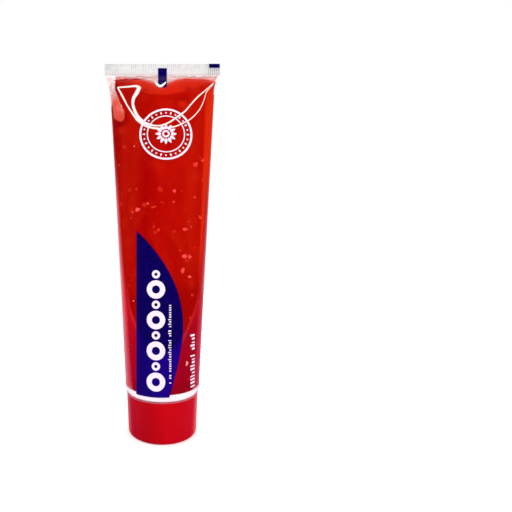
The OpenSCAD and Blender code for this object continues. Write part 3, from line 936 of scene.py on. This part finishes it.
def box_sheet(x, z, wide, tall, face, step=0.8, thick=INK_T):
    """A sheet over an upright rectangle."""
    nc = max(2, math.ceil(wide / step) + 1)
    nr = max(2, math.ceil(tall / step) + 1)
    rows = [[(x - wide / 2 + wide * c / (nc - 1), z - tall / 2 + tall * r / (nr - 1))
             for c in range(nc)] for r in range(nr)]
    return sheet(rows, face, thick=thick)


def ring_sheet(x, z, d, wide, face, low=INK_LOW, thick=INK_T):
    """A sheet over a ring."""
    steps = max(24, int(d * 6))
    reach = np.linspace(d / 2, d / 2 - wide, max(2, math.ceil(wide / 0.6) + 1))[::-1]
    rows = [[(x + q * math.cos(TURN * k / steps), z + q * math.sin(TURN * k / steps))
             for k in range(steps)] for q in reach]
    return sheet(rows, face, low, thick, closed=True)


def sheet_piece(name, sheets, material, slot, *nodes, smooth=False, shadow=True):
    """One piece out of several sheets."""
    points, faces, values, count = [], [], {}, 0
    for made_points, made_faces, *held in sheets:
        points.append(made_points)
        faces += [[i + count for i in f] for f in made_faces]
        count += len(made_points)
        for key, numbers in (held[0] if held else {}).items():
            values.setdefault(key, []).append(numbers)
    values = {key: np.concatenate(parts) for key, parts in values.items()}
    piece = mesh_object(name, np.concatenate(points), faces, material, smooth, values)
    piece.visible_shadow = shadow
    finish_piece(piece, slot, *nodes)


# %% [markdown]
# A dark fin covers the lower front: straight on the left, bowed out on the right, and down
# over the white head. It is one finely divided sheet, so that it follows the round of the
# tube without facets.

# %% Dark panel
PANEL_Z = EDGE_Z
PANEL_L = 72.0
PANEL_LEFT = 11.5
PANEL_W = 20.6
PANEL_FOOT = 14.4
PANEL_ROWS = 110
PANEL_COLS = 30
BOW_AT = 0.4


def panel_width(v):
    """Width of the fin at a share of its height."""
    if v > BOW_AT:
        return PANEL_W * max(0.004, 1 - ((v - BOW_AT) / 0.6) ** 2.2)
    return PANEL_W - (PANEL_W - PANEL_FOOT) * ((BOW_AT - v) / BOW_AT) ** 1.5


panel_rows = [[(-PANEL_LEFT + panel_width(r / PANEL_ROWS) * c / PANEL_COLS,
                PANEL_Z + PANEL_L * r / PANEL_ROWS)
               for c in range(PANEL_COLS + 1)] for r in range(PANEL_ROWS + 1)]
sheet_piece("dark_panel", [sheet(panel_rows, FRONT)], NAVY_INK, "navy_ink", "panel_print",
            smooth=True)

# %% [markdown]
# Inside the fin stands a chain of rings and beads, and above it a round motif of rings with a
# flower of drops, in place of lettering. The chain's sheets lie one layer higher than the
# panel they cross.

# %% Chain and ring motif
TITLE_D = 8.0
BEAD_D = 3.6
TITLE_X = TITLE_D / 2 + 4.7 - PANEL_LEFT
TITLE_Z = PANEL_Z + 2.6 + TITLE_D / 2
PITCH = TITLE_D + BEAD_D + 1.6
MOTIF_X = 1.6
MOTIF_Z = SEAL_Z - 31
MOTIF_D = 24.0
chain = [ring_sheet(TITLE_X, TITLE_Z + PITCH * (k + up), d, d * share, FRONT, LAYER, THIN_INK)
         for k in range(4) for up, d, share in ((0, TITLE_D, 0.28), (0.5, BEAD_D, 0.3))]
sheet_piece("title_chain", chain, WHITE_INK, "white_ink", "front_print")


def drop_sheet(far, turn, long, wide):
    """A sheet over a drop that points away from the motif's middle."""
    rows = []
    for q in (0.02, 0.55, 1.0):
        row = []
        for k in range(20):
            angle = TURN * k / 20
            u = q * long / 2 * math.cos(angle)
            v = q * wide / 2 * math.sin(angle) * (1 - 0.45 * math.cos(angle))
            row.append((MOTIF_X + far * math.cos(turn) + u * math.cos(turn) - v * math.sin(turn),
                        MOTIF_Z + far * math.sin(turn) + u * math.sin(turn) + v * math.cos(turn)))
        rows.append(row)
    return sheet(rows, FRONT, closed=True)


motif = [ring_sheet(MOTIF_X, MOTIF_Z, d, wide, FRONT)
         for d, wide in ((MOTIF_D, 0.9), (MOTIF_D * 0.72, 0.5), (3.4, 0.8))]
motif += [drop_sheet(3.5, TURN * k / 12, 2.6, 1.35) for k in range(12)]
motif += [drop_sheet(10.0, TURN * k / 28, 1.3 - 0.5 * (k % 2), 0.7) for k in range(28)]
sheet_piece("ring_motif", motif, WHITE_INK, "white_ink", "front_print")

# %% [markdown]
# The small print is greeked: rows of little blocks of two heights with gaps between, which
# read as a line of print from a step away and say nothing. One geometry tree sets a row out
# on a plane from a count, a pitch and a seed, and the row is then bent onto the skin.

# %% Greeked print with Geometry Nodes
def chance(net, enter, share, step=0.0):
    """True for a share of the points, from the tree's seed plus a step."""
    inputs = {"Probability": share, "Seed": net.calc("ADD", enter["Seed"], step)}
    return net.add("FunctionNodeRandomValue", inputs, data_type="BOOLEAN")[3]


def draw(net, enter, low, high, step=0.0):
    """A random number for each point, from the tree's seed plus a step."""
    inputs = {2: low, 3: high, "Seed": net.calc("ADD", enter["Seed"], step)}
    return net.add("FunctionNodeRandomValue", inputs, data_type="FLOAT")[1]


GREEK, enter = geometry_group("Greeked row", Count="Int", Pitch="Float", Height="Float",
                              Thickness="Float", Gaps="Float", Seed="Int")
kept = GREEK.add("GeometryNodeDeleteGeometry",
                 {"Geometry": line_of_points(GREEK, enter),
                  "Selection": chance(GREEK, enter, enter["Gaps"])}, domain="POINT")[0]
rise = GREEK.add("GeometryNodeSwitch",
                 {"Switch": chance(GREEK, enter, 0.35, 7.0), "False": 0.66, "True": 1.0},
                 input_type="FLOAT")[0]
broad = draw(GREEK, enter, 0.34, 0.62, 13.0)
size = GREEK.vector(X=GREEK.times(broad, enter["Pitch"]), Y=enter["Thickness"],
                    Z=GREEK.times(rise, enter["Height"]))
block = GREEK.add("GeometryNodeMeshCube", {"Size": (1.0, 1.0, 1.0)})[0]
seated = GREEK.add("GeometryNodeTransform",
                   {"Geometry": block, "Translation": (0.5, 0.5, 0.5)})[0]
stood = GREEK.add("GeometryNodeInstanceOnPoints",
                  {"Points": kept, "Instance": seated, "Scale": size})[0]
close_tree(GREEK, stood, enter["Material"])


def greeked_row(x, z, face, length, pitch, height, seed, gaps, material, low=INK_LOW):
    """Points and faces of a row of print that stands upright on a face."""
    mesh = baked(GREEK, Count=int(length / pitch), Pitch=pitch * MM, Height=height * MM,
                 Thickness=INK_T * MM, Gaps=gaps, Seed=seed, Material=material)
    along, above, up = (np.array([v.co for v in mesh.vertices]) / MM).T
    points = on_skin(x + face * up, z + along, low + above, face)
    return points, [list(p.vertices) for p in mesh.polygons]


front_rows = [greeked_row(TITLE_X + 6.6, PANEL_Z + 5.0, FRONT, 35, 1.0, 1.3, 11, 0.16,
                          WHITE_INK, LAYER + INK_LOW),
              greeked_row(SLEEVE_R - 3.1, PANEL_Z + 2.5, FRONT, 24, 1.5, 2.0, 23, 0.2,
                          WHITE_INK)]
sheet_piece("small_print_front", front_rows, WHITE_INK, "white_ink", "front_print")

# %% [markdown]
# The back carries the plain copy: four bold lines with bullets at the foot, fine columns
# beside them, an upright title and a framed field above. It uses the same greeked rows in
# other sizes, with thin rules between the columns. Rings, tone on tone, fill its top.

# %% Back print
FOOT_Z = EDGE_Z + 1.5
HEAD_Z = FOOT_Z + 40
FRAME_X = -9.4
FRAME_W = 7.6
FRAME_H = 27.0
LINE = 0.3
bold = []
for k in range(4):
    bold.append(greeked_row(-4.0 * k - 1.2, FOOT_Z + 2.4, BACK, 34 - 2 * k, 1.55, 2.4,
                            31 + k, 0.14, BOLD_INK))
    bold.append(box_sheet(-4.0 * k, FOOT_Z + 0.7, 1.1, 1.1, BACK, 0.6))
bold.append(greeked_row(-4.1, HEAD_Z, BACK, 26, 1.9, 3.3, 71, 0.08, BOLD_INK))
back = [greeked_row(4 + 2.18 * k - 0.4, FOOT_Z, BACK, 128 - 3 * k, 0.62, 0.85, 51 + k, 0.2,
                    BACK_INK) for k in range(6)]
back += [box_sheet(2.9 + 4.36 * k, FOOT_Z + 67 - k, 0.16, 134 - 2 * k, BACK, thick=THIN_INK)
         for k in range(4)]
back += [greeked_row(-12.4 + 1.75 * k, HEAD_Z + 1.2, BACK, 24 - 3 * (k % 2), 0.7, 0.8,
                     81 + k, 0.2, BACK_INK) for k in range(4)]
sheet_piece("copy_back", back, BACK_INK, "white_ink", "back_print")
sheet_piece("bold_back", bold, BOLD_INK, "white_ink", "back_print")
sides = [box_sheet(FRAME_X + dx, HEAD_Z + FRAME_H / 2 + dz, wide, tall, BACK)
         for wide, tall, dx, dz in ((LINE, FRAME_H, FRAME_W / 2, 0),
                                    (LINE, FRAME_H, -FRAME_W / 2, 0),
                                    (FRAME_W, LINE, 0, FRAME_H / 2),
                                    (FRAME_W, LINE, 0, -FRAME_H / 2))]
sheet_piece("frame_back", sides, BACK_INK, "white_ink", "back_print")
TONE_RINGS = [(-12, 112, 13), (-10, 125, 11), (-12.5, 137, 13), (-10.5, 149, 9)]
sheet_piece("tone_rings", [ring_sheet(x, z, d, d * 0.30, BACK) for x, z, d in TONE_RINGS],
            TONE_INK, "navy_ink")
sheet_piece("tone_outlines", [ring_sheet(x + 0.8, z + 0.6, d, 0.42, BACK, LAYER + INK_LOW)
                              for x, z, d in TONE_RINGS], DARK_RED_INK, "navy_ink")

# %% [markdown]
# Registration marks tell the filling line where the tube's front is: a small navy block
# across the weld on each face, and one in the corner of each.

# %% Eye marks
MARK_W = 4.1
MARK_TOP = TOP_Z - 2.2
MARK_FOOT = MARK_TOP - 11
JOIN_Z = SEAL_Z - 0.3
MARK_LOW = FILM_T + 0.14
MARK_HIGH = FILM_T + 0.17


def seal_block(x0, x1, z0, z1, face):
    """A thin block of ink over the ridges of the weld."""
    corners = [(x, face * y, z) for y in (MARK_LOW, MARK_HIGH) for z in (z0, z1)
               for x in (x0, x1)]
    quads = [[4, 5, 7, 6], [0, 2, 3, 1], [0, 1, 5, 4], [2, 6, 7, 3], [0, 4, 6, 2],
             [1, 3, 7, 5]]
    return np.array(corners), quads


marks = [box_sheet(0, (MARK_FOOT + JOIN_Z) / 2, MARK_W, JOIN_Z - MARK_FOOT, face, 0.4)
         for face in (FRONT, BACK)]
marks += [seal_block(-MARK_W / 2, MARK_W / 2, JOIN_Z, MARK_TOP, face) for face in (FRONT, BACK)]
marks += [seal_block(22.2, 27.2, TOP_Z - 2.0, TOP_Z - 0.1, face) for face in (FRONT, BACK)]
sheet_piece("eye_mark_print", marks, NAVY_INK, "navy_ink", "eye_marks")

# %% [markdown]
# Where the film has let go of the gel, air shows as white lines, drawn as painted highlights
# with a faint glow: they sweep from one top corner down across the face and up to the other.
# Each is a smooth curve through a few points with a width that swells and thins, laid just
# under the film as a low ridge. A short painted glare in the same white crosses the eye mark.

# %% Air lines with painted highlights
SIDE_LIMIT = 0.975


def kept_on(grid, share):
    """Places past the skin's edge are moved back to a share of its half width."""
    limit = share * half_width(grid[..., 1], grid[..., 0])
    grid[..., 0] = np.clip(grid[..., 0], -limit, limit)
    return grid


def smooth_line(stations, count):
    """A smooth curve through stations of (x, z, width)."""
    knots = np.asarray(stations, dtype=float)
    padded = np.concatenate([[2 * knots[0] - knots[1]], knots, [2 * knots[-1] - knots[-2]]])
    out = []
    for spot in np.linspace(0, len(knots) - 1, count):
        k = min(int(spot), len(knots) - 2)
        t = spot - k
        p0, p1, p2, p3 = padded[k:k + 4]
        out.append(0.5 * (2 * p1 + (p2 - p0) * t + (2 * p0 - 5 * p1 + 4 * p2 - p3) * t ** 2
                          + (3 * p1 - p0 - 3 * p2 + p3) * t ** 3))
    return np.array(out)


def air_highlight_line(stations, face, low=-AIR_IN, count=90):
    """The sheet of a ribbon of air along a curve, a painted white highlight, faint at its edges.
    """
    line = smooth_line(stations, count)
    run = np.gradient(line[:, :2], axis=0)
    run /= np.linalg.norm(run, axis=1, keepdims=True)
    side = np.stack([-run[:, 1], run[:, 0]], axis=1)
    shares = np.linspace(-1, 1, 7)
    grid = line[:, None, :2] + side[:, None, :] * shares[None, :, None] \
        * line[:, None, 2:3] / 2
    return sheet(kept_on(grid, SIDE_LIMIT), face, low, 0.012 + 0.05 * np.sqrt(1 - shares ** 2),
                 solid=1 - 0.6 * np.abs(shares) ** 4)


FRONT_AIR = [
    [(-21.2, 161.9, 0.7), (-18.8, 157.0, 0.9), (-16.3, 151.8, 0.7), (-13.6, 147.3, 0.8),
     (-11.6, 144.3, 1.1)],
    [(-21.3, 161.8, 0.8), (-16.6, 161.6, 1.0), (-12.4, 161.6, 1.3), (-10.8, 160.6, 1.9)],
    [(-10.7, 161.0, 1.8), (-11.9, 157.8, 2.0), (-13.3, 155.2, 1.7), (-13.6, 151.9, 1.3),
     (-12.4, 148.0, 1.4), (-10.6, 145.0, 1.5), (-8.2, 143.0, 1.2)],
    [(-11.8, 144.4, 1.0), (-7.6, 142.4, 1.4), (-4.6, 141.4, 0.9), (-0.9, 141.2, 0.7),
     (3.2, 142.8, 0.8), (7.3, 145.9, 0.8), (10.3, 148.3, 0.7), (13.3, 152.2, 0.6),
     (16.6, 156.3, 0.7), (20.1, 160.0, 0.5), (24.0, 164.2, 0.4), (25.2, 165.6, 0.3)],
    [(-11.3, 143.9, 0.9), (-7.9, 141.4, 1.2), (-4.6, 140.2, 1.0), (-0.5, 139.8, 0.9),
     (5.0, 140.6, 0.7), (8.7, 142.2, 0.6), (12.5, 144.5, 0.55), (15.6, 147.7, 0.45),
     (17.9, 151.2, 0.4), (19.6, 155.4, 0.35), (20.9, 159.5, 0.35), (24.2, 163.9, 0.3)]]
CHEVRON_GLARE = [(-3.4, 163.6, 0.5), (-2.3, 161.9, 1.1), (-1.0, 160.9, 1.4), (0.4, 161.8, 1.1),
           (1.7, 163.4, 0.5)]
BACK_AIR = [
    [(21.0, 165.6, 0.3), (18.2, 163.4, 0.45), (15.8, 161.3, 0.5), (11.4, 160.3, 0.7),
     (2.5, 161.2, 0.75), (-1.0, 160.6, 0.8), (-10.4, 159.0, 0.9), (-15.2, 161.2, 0.8),
     (-20.4, 164.0, 1.1)],
    [(16.2, 161.0, 0.4), (12.6, 158.6, 0.6), (7.4, 157.3, 0.65), (1.0, 156.2, 0.6),
     (-8.2, 154.4, 0.65), (-12.6, 154.2, 0.8), (-15.6, 156.6, 0.55), (-18.8, 161.2, 0.4)]]
air = [air_highlight_line(stations, FRONT) for stations in FRONT_AIR]
air += [air_highlight_line(stations, BACK) for stations in BACK_AIR]
# A painted white glare across the eye mark.
air.append(air_highlight_line(CHEVRON_GLARE, FRONT, LAYER))
sheet_piece("air_highlight_lines", air, AIR_HIGHLIGHT, "clear_film", smooth=True, shadow=False)

# %% [markdown]
# The corner pocket is a finger of air between film and gel, pale where nothing lies behind it
# and salmon where the gel shows through. It is a thin sheet between two outlines, with its
# tone and its edge stored on the points.

# %% Corner pocket
POCKET = [(144.2, -19.8, -18.8), (145.1, -21.2, -17.8), (146.5, -23.0, -17.3),
          (149.0, -25.6, -17.5), (151.8, -26, -18.7), (154.0, -26, -19.6),
          (157.0, -26, -20.8), (161.0, -27, -22.3), (165.0, -27.5, -22.7),
          (167.2, -28, -22.9)]
levels, left, right = np.array(POCKET).T
up = (levels[0] + 23.0 * np.linspace(0, 1, 70) ** 1.3)[:, None]
left = np.interp(up, levels, left)
right = np.interp(up, levels, right)
across = np.linspace(0, 1, 21)
grid = np.stack([left * (1 - across) + right * across, np.repeat(up, 21, axis=1)], axis=-1)
from_left = across * (right - left) + 2 * (1 - fade(up, 152, -2))
from_right = (1 - across) * (right - left)
inside = np.minimum(np.minimum(from_left, from_right), up - levels[0])
pale = fade(up, 155, 6)
solid = 0.92 * fade(inside, 0, 0.5) * (1 - 0.40 * pale)
# A painted shade along the pocket's outer edge, fading out toward the top.
edge_wide = np.interp(up, [150, 154], [1.5, 0.7])
edge = 0.85 * np.clip(1 - across * (right - left) / edge_wide, 0, 1) * fade(up, 162, -6)
pocket = [sheet(kept_on(grid, 0.996), face, -AIR_IN, 0.02 + 0.03 * np.clip(inside, 0, 1),
                solid=solid, pale=pale, edge=edge) for face in (FRONT, BACK)]
sheet_piece("corner_air", pocket, CORNER_AIR, "clear_film", smooth=True, shadow=False)

# %% [markdown]
# Between the gel's top edge and the weld the film is smeared: pink where a last trace of gel
# clings to it, with a thin crimson line caught right under the jaws. It is one thin sheet on
# each face with its tone and its strength stored on the points.

# %% Smear under the weld
paint = Paint("Gel smear", Roughness=0.2, IOR=1.4)
SMEAR = paint.made
strength = paint.calc("MULTIPLY_ADD", paint.mottle(330.0, 1.6, 0.34, 0.66), 0.6, 0.4)
paint.fill(Base_Color=paint.mix(paint.attribute("deep"), (232, 132, 124), (150, 14, 18)),
           Alpha=paint.times(strength, paint.attribute("solid")))
wide = np.linspace(-22.5, 26.2, 140)
up = np.linspace(0, 1, 16)[:, None]
low = gel_top(wide) - 0.25
z = low + (SEAL_Z - 0.12 - low) * up
smears = []
for face in (FRONT, BACK):
    grid = np.stack([wide * (1 - 0.012 * (1 - up)), z], axis=-1)
    line = np.exp(-((SEAL_Z - 0.75 + 0.25 * np.sin(0.9 * wide + face) - z) / 0.27) ** 2)
    line *= np.clip(0.5 + 0.9 * np.sin(0.53 * wide + 2 * face) * np.sin(0.23 * wide + 1.1), 0, 1)
    solid = np.clip(0.62 * (1 - up) ** 1.2 + 0.16 + 0.9 * line, 0, 0.95)
    smears.append(sheet(kept_on(grid, SIDE_LIMIT), face, -AIR_IN + 0.01, 0.012, solid=solid,
                        deep=line))
sheet_piece("weld_smear", smears, SMEAR, "clear_film", smooth=True, shadow=False)

# %% [markdown]
# Bubbles hang in the gel, a few bright and angular where they touch the film, more of them
# dim. Geometry Nodes scatter flattened pebbles over a copy of the gel's skin: the density
# comes from an attribute, size, turn and tone from a fixed seed.

# %% Bubbles with Geometry Nodes
BUBBLES, enter = geometry_group("Bubbles", Density="Float", Smallest="Float", Largest="Float",
                                Flatness="Float", Seed="Int")
crowded = BUBBLES.add("GeometryNodeInputNamedAttribute", {"Name": "crowd"},
                      data_type="FLOAT")[0]
spread = BUBBLES.add("GeometryNodeDistributePointsOnFaces",
                     {"Mesh": enter["Geometry"],
                      "Density": BUBBLES.times(crowded, enter["Density"]),
                      "Seed": enter["Seed"]})
stone = BUBBLES.add("GeometryNodeMeshIcoSphere", {"Radius": 0.5, "Subdivisions": 1})[0]
skewed = BUBBLES.calc("POWER", draw(BUBBLES, enter, 0.0, 1.0), 2.2)
span = BUBBLES.calc("SUBTRACT", enter["Largest"], enter["Smallest"])
wide = BUBBLES.calc("MULTIPLY_ADD", skewed, span, enter["Smallest"])
size = BUBBLES.vector(X=wide, Y=BUBBLES.times(wide, draw(BUBBLES, enter, 0.6, 1.5, 3.0)),
                      Z=enter["Flatness"])
turned = BUBBLES.vector(Z=draw(BUBBLES, enter, 0.0, 6.28, 5.0))
spun = BUBBLES.add("FunctionNodeRotateRotation",
                   {"Rotation": spread["Rotation"], "Rotate By": turned},
                   rotation_space="LOCAL")[0]
stood = BUBBLES.add("GeometryNodeInstanceOnPoints",
                    {"Points": spread["Points"], "Instance": stone, "Rotation": spun,
                     "Scale": size})[0]
marked = BUBBLES.add("GeometryNodeStoreNamedAttribute",
                     {"Geometry": stood, "Name": "tone",
                      "Value": draw(BUBBLES, enter, 0.0, 0.88, 9.0)},
                     data_type="FLOAT", domain="INSTANCE")[0]
close_tree(BUBBLES, marked, enter["Material"])

crowd_mesh = gel.data.copy()
tall = np.array([v.co.z for v in crowd_mesh.vertices]) / MM
crowd = np.where((tall > 28) & (tall < 140), 0.35 + np.exp(-((tall - 95) / 32) ** 2), 0.0)
store(crowd_mesh, "crowd", crowd)
bubble_mesh = baked(BUBBLES, crowd_mesh, Density=15000.0, Smallest=0.28 * MM,
                    Largest=1.7 * MM, Flatness=0.10 * MM, Seed=4, Material=BUBBLE_AND_GLINT)
finish_piece(joined("gel_bubbles", [bubble_mesh], BUBBLE_AND_GLINT, False), "red_gel")

# %% [markdown]
# The largest bubbles are pressed flat against the film and have corners, like chips of glass.
# They are few and each has its own outline, so they are laid one by one from a short list of
# place, width, height and tone, with corners drawn from a fixed seed. The list also holds small
# near-white chips, tone 0.95 and up, that are painted glints. The back has fewer.

# %% Facets and painted glints against the film
FACETS_AND_GLINTS = [(-11.0, 102.9, 2.3, 2.2, 0.90), (5.4, 111.1, 1.5, 2.2, 0.86),
          (10.2, 94.0, 2.4, 1.7, 0.82), (13.0, 95.4, 0.8, 1.0, 0.84),
          (9.8, 82.0, 2.1, 2.1, 0.88), (12.3, 81.8, 1.9, 1.8, 0.84),
          (9.2, 75.9, 1.6, 3.2, 0.84), (12.1, 73.0, 1.8, 1.6, 0.90),
          (-13.5, 102.0, 1.1, 1.5, 0.80), (-6.6, 105.7, 1.3, 1.3, 0.84),
          (-8.2, 105.0, 2.2, 1.9, 0.55), (-3.9, 103.9, 3.9, 1.2, 0.72),
          (15.3, 124.0, 2.7, 2.3, 0.78), (18.6, 126.3, 2.2, 2.1, 0.80),
          (-1.1, 111.9, 2.8, 2.7, 0.60), (-14.9, 112.0, 2.2, 1.8, 0.45),
          (-1.7, 93.7, 1.9, 1.9, 0.70), (-3.3, 92.5, 2.2, 1.7, 0.62),
          (5.1, 93.0, 1.7, 2.0, 0.50), (11.1, 80.1, 1.7, 1.3, 0.66),
          (7.8, 84.7, 2.1, 1.4, 0.60), (-17.8, 132.2, 2.1, 1.7, 0.55),
          (-0.2, 106.1, 2.1, 1.3, 0.40), (12.6, 54.7, 1.3, 1.7, 0.60),
          (7.9, 56.4, 1.7, 1.0, 0.66), (14.7, 108.8, 0.8, 0.8, 0.86),
          (11.8, 97.6, 0.5, 0.5, 0.95), (-13.1, 62.1, 0.4, 0.4, 1.0),
          (-9.4, 42.8, 0.4, 0.4, 1.0), (-20.3, 124.3, 0.4, 0.4, 1.0),
          (-12.9, 132.0, 0.4, 0.4, 1.0), (-19.2, 151.5, 0.35, 2.2, 1.0),
          (-18.6, 149.9, 0.9, 0.5, 0.98), (-20.9, 150.2, 0.3, 1.6, 0.96),
          (11.0, 34.6, 1.5, 2.5, 0.97)]
BRIGHTEST_BACK = 0.94
HIGHEST_BACK = 120
draws = np.random.default_rng(12)
chips = []
for face in (FRONT, BACK):
    for x0, z0, wide, tall, tone in FACETS_AND_GLINTS:
        if face == BACK and (tone > BRIGHTEST_BACK or z0 > HIGHEST_BACK):
            continue
        corners = int(draws.integers(4, 7))
        angles = (np.arange(corners) + draws.uniform(-0.32, 0.32, corners)) * TURN / corners
        reach = draws.uniform(0.34, 0.66, corners)
        x = x0 * (1 if face == FRONT else -0.8)
        z = z0 if face == FRONT else z0 - 7
        row = [(x + wide * r * math.cos(a), z + tall * r * math.sin(a))
               for a, r in zip(angles, reach)]
        middle = [(x + 0.02 * math.cos(a), z + 0.02 * math.sin(a)) for a in angles]
        chips.append(sheet([middle, row], face, -AIR_IN - 0.01, 0.05, closed=True, tone=tone))
sheet_piece("gel_facets_and_glints", chips, BUBBLE_AND_GLINT, "red_gel")

# %% [markdown]
# The stage is a plain pale round table. For the camera it glows a little, so that it melts
# into the white background while the tube keeps its shadow. In the world, the background is
# white for the camera and, behind the tube, for reflections: that draws the light rims. In
# front of the tube the room is dim, so the gel keeps its depth. The lamps are soft boxes.

# %% Stage, world and lamps
WHITE = (1.0, 1.0, 1.0, 1.0)
floor_mesh = bpy.data.meshes.new("floor")
disc = bmesh.new()
bmesh.ops.create_circle(disc, cap_ends=True, segments=128, radius=0.42)
bmesh.ops.translate(disc, verts=disc.verts, vec=(0, 0.20, 0))
disc.to_mesh(floor_mesh)
disc.free()
floor = in_scene("floor", floor_mesh)
paint = Paint("Pale floor", Roughness=0.6, Specular_IOR_Level=0.2, Emission_Color=WHITE)
path = paint.add("ShaderNodeLightPath")
paint.fill(Base_Color=paint.mix(path["Is Glossy Ray"], (0.86, 0.86, 0.86, 1.0),
                                (0.45, 0.05, 0.16, 1.0)),
           Emission_Strength=paint.times(path["Is Camera Ray"], 0.34))
floor_mesh.materials.append(paint.made)

world = bpy.data.worlds.new("Soft studio")
bpy.context.scene.world = world
world.use_nodes = True
sky = Net(world.node_tree)
sky.tree.nodes.clear()
path = sky.add("ShaderNodeLightPath")
way = sky.add("ShaderNodeSeparateXYZ", {0: sky.add("ShaderNodeTexCoord")["Generated"]})
bearing = sky.calc("ARCTAN2", sky.calc("ABSOLUTE", way["X"]), way["Y"])
behind = sky.times(sky.ranged(bearing, 1.15, 0.85), sky.ranged(bearing, 0.12, 0.3))
level = sky.ranged(sky.calc("ABSOLUTE", way["Z"]), 0.65, 0.45)
straight = sky.times(sky.ranged(bearing, 0.40, 0.16), 0.97)
bands = sky.times(sky.times(behind, level), 0.30)
mirror = sky.calc("ADD", sky.calc("MAXIMUM", straight, bands), 0.03)
lit = sky.blend(path["Is Diffuse Ray"], mirror, 0.88)
clear = sky.calc("MAXIMUM", path["Is Camera Ray"], path["Is Transmission Ray"])
shine = sky.add("ShaderNodeBackground",
                {"Color": WHITE, "Strength": sky.blend(clear, lit, 1.0)})[0]
sky.add("ShaderNodeOutputWorld", {"Surface": shine})


def soft_box(name, place, aim, width, height, power, mirrored):
    """A rectangular lamp turned to a point; mirrored ones show in glossy skins."""
    lamp = bpy.data.lights.new(name, "AREA")
    lamp.shape = "RECTANGLE"
    lamp.size = width
    lamp.size_y = height
    lamp.energy = power
    made = in_scene(name, lamp)
    made.location = place
    made.rotation_euler = (Vector(aim) - Vector(place)).to_track_quat("-Z", "Y").to_euler()
    made.visible_glossy = mirrored


soft_box("key_right", (0.55, -0.42, 0.34), (0, 0, 0.09), 0.22, 0.55, 1.5, False)
soft_box("fill_left", (-0.60, -0.30, 0.28), (0, 0, 0.09), 0.30, 0.55, 1.3, False)
soft_box("top", (0.0, -0.10, 0.75), (0, 0, 0.1), 0.70, 0.45, 0.35, True)
soft_box("back", (0.0, 0.75, 0.45), (0, 0, 0.1), 0.50, 0.40, 1.6, False)

# %% [markdown]
# The photograph was taken from close by, level with the middle of the tube, so the cap's
# rings bow downward and the seal is seen a little from below. The picture's frame holds the
# tube left of the middle, which is a small sideways shift of the lens.

# %% Camera
lens = bpy.data.cameras.new("camera")
lens.sensor_width = 36.0
lens.lens = 25.82
lens.shift_x = 0.1828
lens.clip_start = 0.005
lens.clip_end = 20.0
camera = in_scene("camera", lens)
camera.location = (0.0, -0.175, 0.0822)
camera.rotation_euler = (math.pi / 2, 0, 0)
bpy.context.scene.camera = camera
bpy.context.scene.view_settings.view_transform = "Standard"
